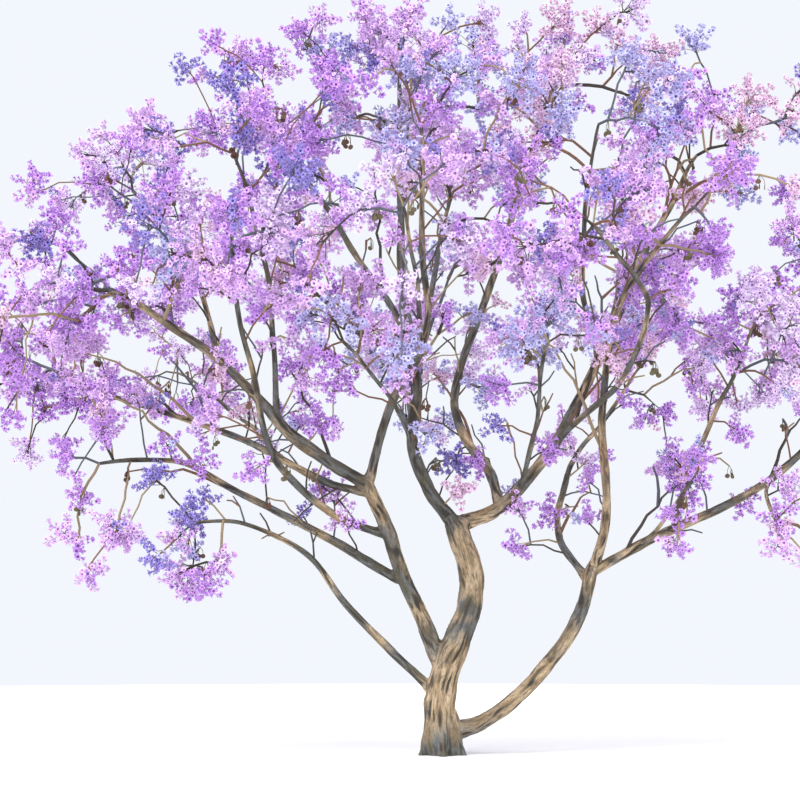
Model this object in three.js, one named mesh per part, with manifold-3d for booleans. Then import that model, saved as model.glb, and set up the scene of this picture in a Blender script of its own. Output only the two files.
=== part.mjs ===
// Jacaranda tree in full bloom, in millimetres, with +Z up, +X to the right and -Y at the front.
// The origin is the middle of the flat cut under the trunk, at ground level.
// A short leaning trunk forks into crooked spreading boughs, and each bough ends in a mass of blossom.

import * as THREE from "three";
import { mergeVertices } from "three/addons/utils/BufferGeometryUtils.js";
import Module from "manifold-3d";

const wasm = await Module();
wasm.setup();

// Gaps between neighbours, and how near two corners of a mesh are one corner
const SEAT_GAP = 0.3;
const BLOSSOM_SEAT_GAP = 0.6;
const BLOSSOM_SPACING = 40;
const SAME_CORNER = 0.01;

// Trunk: a flat cut at the ground, toes that flare over the roots, a lean right, then back left
const TRUNK_PATH = [
  [0, 0, 0],
  [0, 0, 260],
  [-30, 0, 900],
  [170, 0, 1550],
  [430, 0, 2200],
  [410, 0, 2750],
  [220, 0, 3410],
];
const TRUNK_THICK = [455, 365];
const TRUNK_SIDES = 16;
const TRUNK_RINGS = 11;
const FLARE_SPREAD = 110;
const FLARE_HEIGHT = 260;
const TOES = 5;
const TOE_DEPTH = 0.35;

// Boughs: how round, how closely ringed and how crooked the limbs are
const BOUGH_SIDES = 7;
const RING_STEP = 760;
const FEWEST_RINGS = 4;
const CROOK = 35;
const CROOK_TURNS = 2.5;

// Masses of blossom: lobes that swell and dent each one, and a flatter underside
const BLOSSOM_DETAIL = 2;
const LOBES = 12;
const LOBE_DEPTH = 0.24;
const LOBE_SPREAD = 0.1;
const SWELLING_SHARE = 0.6;
const FAINTEST_LOBE = 0.4;
const UNDERSIDE = 0.8;
const FURTHEST_REACH = 1.6;

const BARK = new THREE.MeshStandardMaterial({ color: 0x6b5a44, roughness: 0.9, metalness: 0 });
const BLOSSOM = new THREE.MeshStandardMaterial({ color: 0xa874d6, roughness: 0.75, metalness: 0 });

// Where each mass of blossom sits: its middle, and its half width, half depth and half height
const MASSES = {
  top_left: { middle: [-2850, -300, 9950], half: [1650, 1600, 950] },
  top_middle: { middle: [-650, -500, 10500], half: [1600, 1600, 1000] },
  top_right: { middle: [1850, -300, 10450], half: [1550, 1600, 1000] },
  top_back: { middle: [200, 2800, 9700], half: [1900, 1600, 950] },
  upper_left: { middle: [-5150, 700, 9000], half: [1500, 1500, 900] },
  upper_right: { middle: [4350, 800, 9600], half: [1600, 1500, 1050] },
  upper_front_left: { middle: [-2900, -2750, 8600], half: [1450, 1250, 900] },
  upper_front: { middle: [-300, -3100, 8800], half: [1300, 1200, 950] },
  upper_front_right: { middle: [2100, -2800, 8900], half: [1300, 1250, 950] },
  upper_back_left: { middle: [-3000, 3200, 8400], half: [1700, 1500, 1000] },
  upper_back_right: { middle: [3400, 3300, 8500], half: [1700, 1450, 1000] },
  left: { middle: [-5150, -1600, 6800], half: [1600, 1450, 900] },
  left_tip: { middle: [-6350, 1000, 6000], half: [1200, 1500, 1050] },
  front_left: { middle: [-2900, -3900, 6950], half: [1450, 1150, 800] },
  front_middle: { middle: [-600, -4600, 7050], half: [1150, 1050, 850] },
  front_right: { middle: [1550, -4300, 7050], half: [1200, 1150, 900] },
  right_front: { middle: [3600, -2600, 7750], half: [1250, 1200, 950] },
  right: { middle: [4900, -1000, 6350], half: [1550, 1350, 950] },
  right_tip: { middle: [6500, 600, 7700], half: [1300, 1600, 1300] },
  back_left: { middle: [-4700, 3600, 6500], half: [1500, 1350, 950] },
  back_middle: { middle: [-800, 5000, 7300], half: [2000, 1200, 1000] },
  back_right: { middle: [4000, 4300, 6900], half: [1900, 1350, 950] },
  low_front_left: { middle: [-1520, -2700, 5750], half: [850, 750, 550] },
  low_front_right: { middle: [1400, -2500, 5800], half: [900, 800, 700] },
  hang_left: { middle: [-5200, -800, 4000], half: [600, 650, 1050] },
  tuft_left: { middle: [-3750, -800, 3300], half: [620, 600, 450] },
  tuft_right: { middle: [3700, -1400, 4100], half: [600, 600, 550] },
  hang_right: { middle: [5000, -650, 3200], half: [550, 550, 850] },
};

// Two stems only carry other boughs. Each starts inside its parent, at a share of the parent's length.
const STEMS = [
  {
    name: "stem_left", from: "trunk", at: 0.34, thick: [260, 220],
    knees: [[-240, 0, 2000], [-640, -180, 2620], [-830, -350, 3400], [-1090, -500, 3990]],
  },
  {
    name: "stem_low_right", from: "trunk", at: 0.08, thick: [250, 215],
    knees: [[450, 0, 330], [1460, 0, 1170], [2050, 0, 1950], [2260, 0, 2680]],
  },
];

// The other boughs each end in the mass that they carry, and take its name
const BOUGHS = [
  {
    carries: "top_middle", from: "trunk", at: 1, thick: [215, 85],
    knees: [[-250, -200, 4000], [-460, -300, 4670], [-400, -300, 5400], [-600, -100, 7500]],
  },
  {
    carries: "upper_right", from: "trunk", at: 1, thick: [225, 85],
    knees: [[910, 200, 3650], [1630, 500, 4530], [2450, 800, 5810], [3100, 900, 7400]],
  },
  {
    carries: "top_back", from: "trunk", at: 1, thick: [195, 75],
    knees: [[-200, 700, 4080], [-420, 1900, 5350], [-100, 2600, 7500]],
  },
  {
    carries: "top_right", from: "bough_upper_right", at: 0.1, thick: [190, 75],
    knees: [[1040, 300, 3970], [600, 600, 4510], [250, 900, 4990], [220, 1150, 5540], [650, 1300, 6870]],
  },
  {
    carries: "top_left", from: "bough_top_middle", at: 0.42, thick: [120, 65],
    knees: [[-1500, -250, 7900]],
  },
  {
    carries: "low_front_left", from: "bough_top_middle", at: 0.16, thick: [90, 50],
    knees: [[-700, -1500, 5050]],
  },
  {
    carries: "upper_front", from: "stem_left", at: 1, thick: [160, 60],
    knees: [[-1000, -600, 4550], [-580, -1000, 5500], [-120, -1350, 6050], [-280, -1650, 6550]],
  },
  {
    carries: "front_middle", from: "bough_upper_front", at: 0.36, thick: [85, 50],
    knees: [[-350, -2600, 6150]],
  },
  {
    carries: "left", from: "stem_left", at: 1, thick: [220, 85],
    knees: [[-1980, -800, 4440], [-2570, -1000, 4970], [-3330, -1300, 5780]],
  },
  {
    carries: "left_tip", from: "stem_left", at: 0.94, thick: [140, 60],
    knees: [[-1740, -400, 4000], [-2950, -400, 4660], [-4700, 300, 5300]],
  },
  {
    carries: "upper_left", from: "bough_left", at: 0.58, thick: [95, 60],
    knees: [[-3800, -500, 7350]],
  },
  {
    carries: "upper_front_left", from: "bough_left", at: 0.33, thick: [95, 60],
    knees: [[-2500, -1600, 6500]],
  },
  {
    carries: "back_left", from: "bough_left_tip", at: 0.25, thick: [90, 55],
    knees: [[-2950, 900, 5000], [-3700, 2500, 5700]],
  },
  {
    carries: "front_left", from: "stem_left", at: 0.72, thick: [140, 60],
    knees: [[-1430, -500, 3400], [-1910, -800, 3700], [-2350, -1250, 4100], [-2700, -2500, 5400]],
  },
  {
    carries: "hang_left", from: "stem_left", at: 0.5, thick: [165, 60],
    knees: [[-1250, 0, 2920], [-2460, 0, 3610], [-3150, 0, 3900], [-4200, -300, 4450]],
  },
  {
    carries: "tuft_left", from: "trunk", at: 0.25, thick: [150, 55],
    knees: [[-560, 0, 1330], [-1460, 0, 2200], [-1800, -50, 2800], [-2300, -150, 3080], [-2900, -500, 3450]],
  },
  {
    carries: "upper_back_left", from: "bough_top_back", at: 0.5, thick: [110, 60],
    knees: [[-1500, 2900, 7200]],
  },
  {
    carries: "back_middle", from: "bough_top_back", at: 0.33, thick: [110, 60],
    knees: [[-500, 3300, 5950]],
  },
  {
    carries: "low_front_right", from: "bough_upper_right", at: 0.16, thick: [90, 50],
    knees: [[1350, -1000, 4750]],
  },
  {
    carries: "front_right", from: "bough_upper_right", at: 0.3, thick: [110, 60],
    knees: [[2750, -900, 5600], [2750, -2700, 6350]],
  },
  {
    carries: "upper_front_right", from: "bough_upper_right", at: 0.5, thick: [110, 60],
    knees: [[2100, -900, 7100]],
  },
  {
    carries: "upper_back_right", from: "bough_upper_right", at: 0.46, thick: [110, 60],
    knees: [[2950, 2000, 7000]],
  },
  {
    carries: "right_front", from: "stem_low_right", at: 1, thick: [165, 65],
    knees: [[2600, 0, 3620], [2440, 0, 4710], [2550, -150, 5650], [2650, -900, 6700]],
  },
  {
    carries: "right_tip", from: "stem_low_right", at: 1, thick: [170, 70],
    knees: [[3430, 0, 3290], [4620, 0, 3850], [5900, 250, 4800], [6400, 500, 6000]],
  },
  {
    carries: "back_right", from: "stem_low_right", at: 0.97, thick: [130, 60],
    knees: [[1850, 350, 3150], [2200, 2000, 4500], [3100, 3300, 5700]],
  },
  {
    carries: "right", from: "bough_right_tip", at: 0.2, thick: [95, 60],
    knees: [[4050, -350, 4900]],
  },
  {
    carries: "tuft_right", from: "bough_right_tip", at: 0.12, thick: [75, 45],
    knees: [[3300, -700, 3450]],
  },
  {
    carries: "hang_right", from: "bough_right_tip", at: 0.38, thick: [70, 45],
    knees: [[5230, -330, 4130]],
  },
];

// A repeatable stream of numbers from 0 to 1, started by a name, so each piece has its own
function numbersFrom(name) {
  let state = [...name].reduce((sum, letter) => Math.imul(sum ^ letter.charCodeAt(0), 16777619), 2166136261);
  return () => {
    state = (state + 0x6d2b79f5) | 0;
    let mixed = Math.imul(state ^ (state >>> 15), 1 | state);
    mixed = (mixed + Math.imul(mixed ^ (mixed >>> 7), 61 | mixed)) ^ mixed;
    return ((mixed ^ (mixed >>> 14)) >>> 0) / 4294967296;
  };
}

// Solids
function toSolid(geometry) {
  geometry.deleteAttribute("normal");
  geometry.deleteAttribute("uv");
  const merged = mergeVertices(geometry, SAME_CORNER);
  return new wasm.Manifold(new wasm.Mesh({
    numProp: 3,
    vertProperties: new Float32Array(merged.attributes.position.array),
    triVerts: new Uint32Array(merged.index.array),
  }));
}

function toGeometry(solid) {
  const mesh = solid.getMesh();
  const geometry = new THREE.BufferGeometry();
  geometry.setAttribute("position", new THREE.BufferAttribute(mesh.vertProperties, 3));
  geometry.setIndex(new THREE.BufferAttribute(mesh.triVerts, 1));
  geometry.computeVertexNormals();
  return geometry;
}

function largestPiece(solid) {
  return solid.decompose().reduce((a, b) => (a.volume() > b.volume() ? a : b));
}

// Limbs
function curveThrough(points) {
  return new THREE.CatmullRomCurve3(points.map((point) => new THREE.Vector3(...point)));
}

// A closed limb: a cylinder whose rings are carried along the curve and set square to it
function limbSolid(limb, grow) {
  const { curve, rings, sides, radius, crook } = limb;
  const frames = curve.computeFrenetFrames(rings);
  const geometry = new THREE.CylinderGeometry(1, 1, 1, sides, rings);
  const vertex = new THREE.Vector3();
  const position = geometry.attributes.position;
  for (let i = 0; i < position.count; i += 1) {
    vertex.fromBufferAttribute(position, i);
    const ring = Math.round((vertex.y + 0.5) * rings);
    const share = ring / rings;
    const round = Math.atan2(vertex.z, vertex.x);
    const spoke = Math.hypot(vertex.x, vertex.z) * (radius(share, round) + grow);
    const across = frames.normals[ring].clone().multiplyScalar(Math.cos(round));
    const along = frames.binormals[ring].clone().multiplyScalar(-Math.sin(round));
    const stretch = (ring === rings ? grow : 0) - (ring === 0 ? grow : 0);
    const middle = curve.getPointAt(share).add(crook(share)).addScaledVector(frames.tangents[ring], stretch);
    vertex.copy(middle).addScaledVector(across.add(along), spoke);
    if (limb.flatFoot && ring === 0) vertex.z = 0;
    position.setXYZ(i, vertex.x, vertex.y, vertex.z);
  }
  return toSolid(geometry);
}

function taper([first, last], share) {
  return (first + (last - first) * share) / 2;
}

function makeTrunk() {
  const curve = curveThrough(TRUNK_PATH);
  const length = curve.getLength();
  const radius = (share, round) => {
    const flare = FLARE_SPREAD * Math.exp((-share * length) / FLARE_HEIGHT);
    return taper(TRUNK_THICK, share) + flare * (1 + TOE_DEPTH * Math.cos(TOES * round));
  };
  const crook = () => new THREE.Vector3();
  return { name: "trunk", curve, rings: TRUNK_RINGS, sides: TRUNK_SIDES, radius, crook, flatFoot: true };
}

function makeBough(row, parent) {
  const name = row.name ?? `bough_${row.carries}`;
  const start = parent.curve.getPointAt(row.at).add(parent.crook(row.at)).toArray();
  const end = row.carries ? [MASSES[row.carries].middle] : [];
  const curve = curveThrough([start, ...row.knees, ...end]);
  const rings = Math.max(FEWEST_RINGS, Math.round(curve.getLength() / RING_STEP));
  const next = numbersFrom(name);
  const [phaseX, phaseY] = [next() * Math.PI * 2, next() * Math.PI * 2];
  const crook = (share) => {
    const sway = CROOK * Math.sin(Math.PI * share);
    const turn = CROOK_TURNS * Math.PI * 2 * share;
    return new THREE.Vector3(Math.sin(turn + phaseX), Math.sin(turn + phaseY), 0).multiplyScalar(sway);
  };
  const radius = (share) => taper(row.thick, share);
  return { name, curve, rings, sides: BOUGH_SIDES, radius, crook };
}

// Masses of blossom
function makeMass(name, { middle, half }) {
  const next = numbersFrom(name);
  const lobes = Array.from({ length: LOBES }, () => {
    const height = next() * 2 - 1;
    const bearing = next() * Math.PI * 2;
    const level = Math.sqrt(1 - height * height);
    const towards = new THREE.Vector3(level * Math.cos(bearing), level * Math.sin(bearing), height);
    const depth = LOBE_DEPTH * (FAINTEST_LOBE + (1 - FAINTEST_LOBE) * next());
    return { towards, swell: next() < SWELLING_SHARE ? depth : -depth };
  });
  return {
    name: `blossom_${name}`,
    middle: new THREE.Vector3(...middle),
    half: new THREE.Vector3(...half),
    lobes,
  };
}

function plainReach(mass, towards) {
  return 1 / towards.clone().divide(mass.half).length();
}

function lobedReach(mass, towards) {
  const swell = mass.lobes.reduce(
    (sum, lobe) => sum + lobe.swell * Math.exp((towards.dot(lobe.towards) - 1) / LOBE_SPREAD),
    1,
  );
  const sunk = towards.z < 0 ? 1 + (UNDERSIDE - 1) * -towards.z : 1;
  return plainReach(mass, towards) * swell * sunk;
}

// Two masses that would meet share a flat side between them, in proportion to their sizes
function sharedSides(mass, masses) {
  return masses.filter((other) => other !== mass).flatMap((other) => {
    const towards = other.middle.clone().sub(mass.middle);
    const apart = towards.length();
    towards.normalize();
    const own = plainReach(mass, towards);
    const others = plainReach(other, towards);
    const clear = apart > (own + others) * FURTHEST_REACH;
    return clear ? [] : [{ towards, reach: (apart * own) / (own + others) - BLOSSOM_SPACING / 2 }];
  });
}

function massSolid(mass, sides, grow) {
  const geometry = new THREE.IcosahedronGeometry(1, BLOSSOM_DETAIL);
  const towards = new THREE.Vector3();
  const position = geometry.attributes.position;
  for (let i = 0; i < position.count; i += 1) {
    towards.fromBufferAttribute(position, i).normalize();
    const facing = sides.filter((side) => towards.dot(side.towards) > 0);
    const limits = facing.map((side) => side.reach / towards.dot(side.towards));
    const reach = Math.min(lobedReach(mass, towards), ...limits) + grow;
    const place = towards.clone().multiplyScalar(reach).add(mass.middle);
    position.setXYZ(i, place.x, place.y, place.z);
  }
  return toSolid(geometry);
}

// Assembly
const tree = new THREE.Group();

function place(name, solid, material) {
  const mesh = new THREE.Mesh(toGeometry(solid), material);
  mesh.name = name;
  tree.add(mesh);
}

const masses = Object.entries(MASSES).map(([name, row]) => makeMass(name, row));
let taken = [];
for (const mass of masses) {
  const sides = sharedSides(mass, masses);
  place(mass.name, massSolid(mass, sides, 0), BLOSSOM);
  taken.push(massSolid(mass, sides, BLOSSOM_SEAT_GAP));
}

const trunk = makeTrunk();
const limbs = new Map([[trunk.name, trunk]]);
place(trunk.name, limbSolid(trunk, 0), BARK);
taken.push(limbSolid(trunk, SEAT_GAP));

for (const row of [...STEMS, ...BOUGHS]) {
  const limb = makeBough(row, limbs.get(row.from));
  limbs.set(limb.name, limb);
  const cut = largestPiece(limbSolid(limb, 0).subtract(wasm.Manifold.union(taken)));
  place(limb.name, cut, BARK);
  taken.push(limbSolid(limb, SEAT_GAP));
}

export default tree;
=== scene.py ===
# %% [markdown]
# # A jacaranda in full bloom
# The tree stands on a measured frame: a trunk, crooked boughs and closed solids where the blossom hangs.
# Here every one of those plain solids gets its living surface. The wood is modelled ring by ring along
# the limbs of the frame, the branches inside each mass are grown by a seeded rule, and every branch end
# carries sprays of trumpet flowers. All sizes are metres, with +Z up and the viewer on the -Y side.

# %% The frame and the tools
import math
import random
from collections import namedtuple

import bpy
import numpy as np
from mathutils import Matrix, Quaternion, Vector, kdtree, noise
from mathutils.bvhtree import BVHTree


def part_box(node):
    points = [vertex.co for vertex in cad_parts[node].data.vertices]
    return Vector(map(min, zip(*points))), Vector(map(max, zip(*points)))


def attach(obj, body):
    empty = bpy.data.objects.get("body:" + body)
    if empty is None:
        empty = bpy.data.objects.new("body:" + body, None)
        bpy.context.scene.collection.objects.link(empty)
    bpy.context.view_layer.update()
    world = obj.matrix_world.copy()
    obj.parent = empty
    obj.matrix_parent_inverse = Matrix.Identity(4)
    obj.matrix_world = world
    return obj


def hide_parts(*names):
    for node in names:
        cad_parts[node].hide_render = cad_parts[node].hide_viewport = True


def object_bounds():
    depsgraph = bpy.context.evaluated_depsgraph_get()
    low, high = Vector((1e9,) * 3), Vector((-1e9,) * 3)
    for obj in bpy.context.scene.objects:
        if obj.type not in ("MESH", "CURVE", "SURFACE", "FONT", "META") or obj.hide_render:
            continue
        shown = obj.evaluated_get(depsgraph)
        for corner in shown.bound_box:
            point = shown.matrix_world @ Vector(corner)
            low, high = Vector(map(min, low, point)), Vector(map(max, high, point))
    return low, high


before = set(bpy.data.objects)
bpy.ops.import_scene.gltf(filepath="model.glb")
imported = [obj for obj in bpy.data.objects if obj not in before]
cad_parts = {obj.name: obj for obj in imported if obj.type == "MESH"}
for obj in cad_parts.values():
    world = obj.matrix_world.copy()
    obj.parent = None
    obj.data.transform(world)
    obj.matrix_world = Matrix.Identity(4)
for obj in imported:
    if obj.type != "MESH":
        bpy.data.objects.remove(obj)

NOISE_SEED = 5
noise.seed_set(NOISE_SEED)
cad_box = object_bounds()
UP = Vector((0, 0, 1))
masses = sorted(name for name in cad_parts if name.startswith("blossom_"))
limb_names = sorted(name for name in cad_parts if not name.startswith("blossom_"))


def middle_of(node):
    """The middle of a node's box."""
    low, high = (Vector(corner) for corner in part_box(node))
    return (low + high) / 2


def bough_of(mass):
    """The bough that ends in a mass of blossom."""
    return mass.replace("blossom_", "bough_")


print(len(limb_names), "limbs and", len(masses), "masses of blossom in the box", cad_box)

# %% [markdown]
# ## The viewer
# The picture was painted by someone standing well back from the tree, so the horizon is low and the crown
# is seen from below. A long lens from a standing eye height gives the same view. The camera is tipped up
# instead of shifted, because a shift would follow into the views from other sides.

# %% The viewer's eye
EYE = Vector((-0.63, -22.0, 1.6))
TIPPED_UP = math.radians(9.64)
LENS = 65.0

bpy.ops.object.camera_add(location=EYE, rotation=(math.pi / 2 + TIPPED_UP, 0, 0))
camera = bpy.context.object
camera.name = "eye"
camera.data.lens = LENS
bpy.context.scene.camera = camera
print("the eye stands", -EYE.y, "m in front of the trunk with a", LENS, "mm lens")

# %% [markdown]
# ## From the picture to the tree and back
# Some places are easiest to name as the viewer sees them, such as a gap where the sky shows. The camera
# could be asked where it sees them, but the sum is short: a place's arm from the eye is measured along the
# view, across it and upwards, and the lens sets how many metres one pixel is at that depth.

# %% Where a place appears in the picture
PICTURE = 800
FOCAL = PICTURE * LENS / camera.data.sensor_width
AHEAD = Vector((0, math.cos(TIPPED_UP), math.sin(TIPPED_UP)))
ALOFT = Vector((0, -math.sin(TIPPED_UP), math.cos(TIPPED_UP)))


def seen_at(place):
    """The pixel across and down at which the viewer sees a place, and how many metres a pixel is there."""
    arm = place - EYE
    metres = arm.dot(AHEAD) / FOCAL
    return PICTURE / 2 + arm.x / metres, PICTURE / 2 - arm.dot(ALOFT) / metres, metres


def sight(across, down):
    """The way from the eye through a pixel."""
    aside = Vector((across - PICTURE / 2, 0, 0))
    return (AHEAD * FOCAL + aside + ALOFT * (PICTURE / 2 - down)).normalized()


print("the foot of the trunk is seen at", [round(value, 3) for value in seen_at(Vector((0, 0, 0)))])

# %% [markdown]
# ## Reading the limbs
# The frame holds each limb as a coarse many-sided tube. To model bark on it, its middle line and its
# thickness are needed along the way. They could be typed in again, but then they could disagree with the
# frame. Instead a walker starts inside the tube, feels for the wall on opposite sides, steps to the
# middle between them, and goes on in paces until the end of the tube is close ahead.

# %% Feeling for the wall of a limb
FEELERS = 8
STRAY_CHORD = 1.7
PACE = 1.1
SHORTEST_PACE = 0.04
NO_ROOM = 1.05
UNDER_THE_BARK = 0.004
FULLER_THAN_ITS_FLATS = 1.05


def skin_of(node):
    """The frame's solid as a surface that rays can meet."""
    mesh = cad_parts[node].data
    return BVHTree.FromPolygons([v.co for v in mesh.vertices], [tuple(f.vertices) for f in mesh.polygons])


def feel(skin, point, direction):
    """The middle of the limb near point, and its radius there, from chords square to direction."""
    side = direction.orthogonal().normalized()
    chords = []
    for i in range(FEELERS):
        spoke = Quaternion(direction, math.pi * i / FEELERS) @ side
        near, far = skin.ray_cast(point, spoke)[0], skin.ray_cast(point, -spoke)[0]
        if near and far:
            chords.append((near, far))
    usual = sorted((a - b).length for a, b in chords)[len(chords) // 2]
    fair = [(a, b) for a, b in chords if (a - b).length < STRAY_CHORD * usual]
    middle = sum((a + b for a, b in fair), Vector()) / (2 * len(fair))
    return middle, sum((a - b).length for a, b in fair) / (2 * len(fair))


def walk(skin, point, direction):
    """Stations (middle, radius) from point to the end of the limb that direction looks at."""
    stations = []
    while True:
        middle, radius = feel(skin, point, direction)
        if stations:
            direction = (middle - stations[-1][0]).normalized()
        stations.append((middle, radius))
        pace = max(SHORTEST_PACE, PACE * radius)
        wall, _, _, room = skin.ray_cast(middle, direction)
        if wall is None or room < pace * NO_ROOM:
            break
        point = middle + direction * pace
    return stations + [(wall or middle, radius)]


def read_limb(node):
    """The whole limb's stations, walked both ways from the face nearest to the middle of its box."""
    mesh, middle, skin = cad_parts[node].data, middle_of(node), skin_of(node)
    face = min(mesh.polygons, key=lambda f: (f.center - middle).length)
    inside = face.center - face.normal * UNDER_THE_BARK
    opposite = skin.ray_cast(inside, -face.normal)[0]
    corners = [mesh.vertices[i].co for i in face.vertices]
    edges = [a - b for a, b in zip(corners, corners[1:] + corners[:1])]
    along = max(edges, key=lambda edge: edge.length).normalized()
    start = (inside + opposite) / 2
    back, on = walk(skin, start, -along), walk(skin, start, along)
    return [(p, r * FULLER_THAN_ITS_FLATS) for p, r in back[:0:-1] + on]


walked = {name: read_limb(name) for name in limb_names}
print(sum(len(s) for s in walked.values()), "stations on", len(walked), "limbs")

# %% [markdown]
# ## Which end is which
# A limb starts where it leaves a thicker one and ends in its mass of blossom. The trunk starts at the
# ground. The walker can't know which way it went, so each limb's two ends are compared with what lies there.

# %% Turning the limbs into growing order
# An end station is a sliver if it is thinner than this share of one a few stations in.
SLIVER = 0.85
STATIONS_IN = 3


def gap_to(point, stations):
    """How far a point is from the nearest of a limb's stations."""
    return min((point - p).length for p, _ in stations)


def start_first(name, stations):
    """The stations in growing order, without the slivers that a slanting joint leaves at the ends."""
    first, last = stations[0][0], stations[-1][0]
    if name == "trunk":
        return stations if first.z < last.z else stations[::-1]
    if name.startswith("stem_"):
        turned = gap_to(first, walked["trunk"]) > gap_to(last, walked["trunk"])
    else:
        mass = middle_of(name.replace("bough_", "blossom_"))
        turned = (first - mass).length < (last - mass).length
    stations = stations[::-1] if turned else stations
    while stations[0][1] < SLIVER * stations[STATIONS_IN][1]:
        stations = stations[1:]
    while stations[-1][1] < SLIVER * stations[-1 - STATIONS_IN][1]:
        stations = stations[:-1]
    return stations


walked = {name: start_first(name, stations) for name, stations in walked.items()}

# %% [markdown]
# ## Crooked wood
# The frame's limbs are smooth, but a jacaranda's limbs wander and swell as they go. Bending the finished
# mesh would squash its rings, so the stations are moved before anything is modelled on them. Slow noise in
# space gives the wander, so limbs that touch move together and stay joined.

# %% Moving the stations off their line
KINK_EVERY = 0.75
KINK = 0.5
WIDEST_KINK = 0.05
STRAIGHT_BELOW = 1.5
UNEVEN_EVERY = 0.375
UNEVEN = 0.12


def crook(point, radius):
    """Shift a station off its line and vary its thickness, less on thin wood and not at the foot."""
    rise = min(1.0, point.z / STRAIGHT_BELOW)
    shift = noise.noise_vector(point / KINK_EVERY) * min(WIDEST_KINK, KINK * radius) * rise
    return point + shift, radius * (1 + UNEVEN * noise.noise(point / UNEVEN_EVERY) * rise)


walked = {name: [crook(*station) for station in stations] for name, stations in walked.items()}

# %% [markdown]
# ## What bears each limb
# Two tubes that only touch would show a flat joint, and real wood runs together in a fork. So each limb's
# start is carried back along its own line into the middle of the limb that bears it.

# %% Finding what bears each limb
FURTHEST_BEARER = 0.7
THICK_ENOUGH_TO_BEAR = 0.9
NEARER_IS_LIKELIER = 0.15


def find_bearer(name):
    """The limb that the line behind this one's start runs into, the point where it does, and its radius."""
    (start, radius), _, (ahead, _) = walked[name][:3]
    back = (start - ahead).normalized()
    options = []
    for other, stations in walked.items():
        for point, thickness in stations:
            behind = (point - start).dot(back)
            thick_enough = thickness >= THICK_ENOUGH_TO_BEAR * radius
            if other != name and thick_enough and 0 < behind < FURTHEST_BEARER:
                beside = (point - start - back * behind).length
                options.append((beside + NEARER_IS_LIKELIER * behind, other, point, thickness))
    return min(options, key=lambda option: option[0])[1:]


bearers = {name: find_bearer(name) for name in walked if name != "trunk"}
for name, (bearer, point, _) in bearers.items():
    gap = (point - walked[name][0][0]).length
    print(name, "grows from", bearer, round(gap, 2), "m behind its start")

# %% [markdown]
# ## Where the blossom gathers
# Jacaranda flowers stand in loose panicles at the ends of the twigs, and the panicles of one branch make a
# rounded clump with air round it. So the flowers aren't spread evenly through a mass. First the clumps get
# their places just under the surface of the frame's solid, kept apart like seats in a theatre, and then the
# branches grow towards them. Each mass draws its random numbers from a stream that its own name starts.
#
# In places the sky shows through the whole depth of the crown. Clumps dealt out by chance alone would close
# most of these gaps, so each gap is a line of sight that every mass keeps free, near and far.

# %% Gaps that stay open from the viewer's side
SKY_GAPS = (
    (60, 168), (100, 235), (214, 169), (291, 94), (355, 157), (382, 96), (419, 212), (475, 205),
    (598, 143), (755, 218), (229, 318), (255, 385), (375, 403), (442, 344), (575, 367), (597, 286),
    (649, 382), (707, 292), (784, 430), (735, 458), (370, 251), (122, 466), (186, 100), (232, 437),
    (774, 160), (623, 435), (661, 367), (561, 175), (570, 392), (179, 378), (688, 163), (673, 224),
    (600, 90), (128, 351),
)
GAP_REACH = 0.3
SHARE_OF_CLUMP = 0.6


def in_gap(place, radius):
    """Whether a clump would stand before or behind one of the gaps."""
    across, down, metres = seen_at(place)
    reach = (GAP_REACH + SHARE_OF_CLUMP * radius) / metres
    return any(math.hypot(across - x, down - y) < reach for x, y in SKY_GAPS)


# %% Places for the clumps
CLUMPS_PER_M2 = 0.95
CLUMP_TRIES = 10
CLUMP_SPACING = 0.55
CLUMP_RADIUS = (0.22, 0.44)
CLUMP_DEPTH = 0.8
NEAREST_TO_MIDDLE = 0.15
INNER_CLUMPS = 0.2
INNER_SHARE = (0.4, 0.7)
PROUD_CLUMPS = 0.06
PROUD_DEPTH = -0.3
NOTCH = 0.45
NOTCH_DEPTH = -0.15
BOX_SPARE = 0.04
TURNED_UP = 0.35
# How much fuller than usual a mass is: more at the top and in the small low sprays, as in the picture
FULLNESS = {
    "top_left": 1.3, "top_middle": 1.35, "top_right": 1.25, "top_back": 1.15,
    "upper_right": 1.1, "upper_back_left": 1.15, "upper_back_right": 1.35,
    "left_tip": 1.15, "front_middle": 0.85, "right": 1.1, "back_right": 1.3, "back_middle": 1.2,
    "low_front_left": 1.9, "low_front_right": 1.8,
    "hang_left": 1.3, "tuft_left": 1.5, "tuft_right": 1.3,
}
Clump = namedtuple("Clump", "place facing radius")
# The first place is under the ground, so that there is always a distance to measure.
taken = [Vector((0, 0, -1))]
skins = {name: skin_of(name) for name in masses}


def surface_points(node, count, chance):
    """Random points on a mass, as many on each face as its area asks for."""
    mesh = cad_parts[node].data
    faces = list(mesh.polygons)
    for face in chance.choices(faces, weights=[f.area for f in faces], k=count):
        a, b, c = (mesh.vertices[i].co for i in face.vertices)
        u, v = sorted((chance.random(), chance.random()))
        yield a * u + b * (v - u) + c * (1 - v)


def is_free(place):
    """Whether no clump of any mass is near this place yet."""
    return np.linalg.norm(np.array(taken) - np.array(place), axis=1).min() > CLUMP_SPACING


def in_notch(node, point):
    """Whether a point of a mass lies where another mass comes near, so that a notch opens between them."""
    near = (skin.find_nearest(point, NOTCH)[0] for name, skin in skins.items() if name != node)
    return any(hit is not None for hit in near)


def clump_depth(node, point, arm, radius, chance):
    """How far under the surface a clump sits: deep inside, just under it, proud of it, or filling a notch."""
    draw = chance.random()
    if draw < INNER_CLUMPS:
        return arm.length * chance.uniform(*INNER_SHARE)
    if draw > 1 - PROUD_CLUMPS:
        return PROUD_DEPTH
    return NOTCH_DEPTH if in_notch(node, point) else radius * CLUMP_DEPTH


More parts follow.
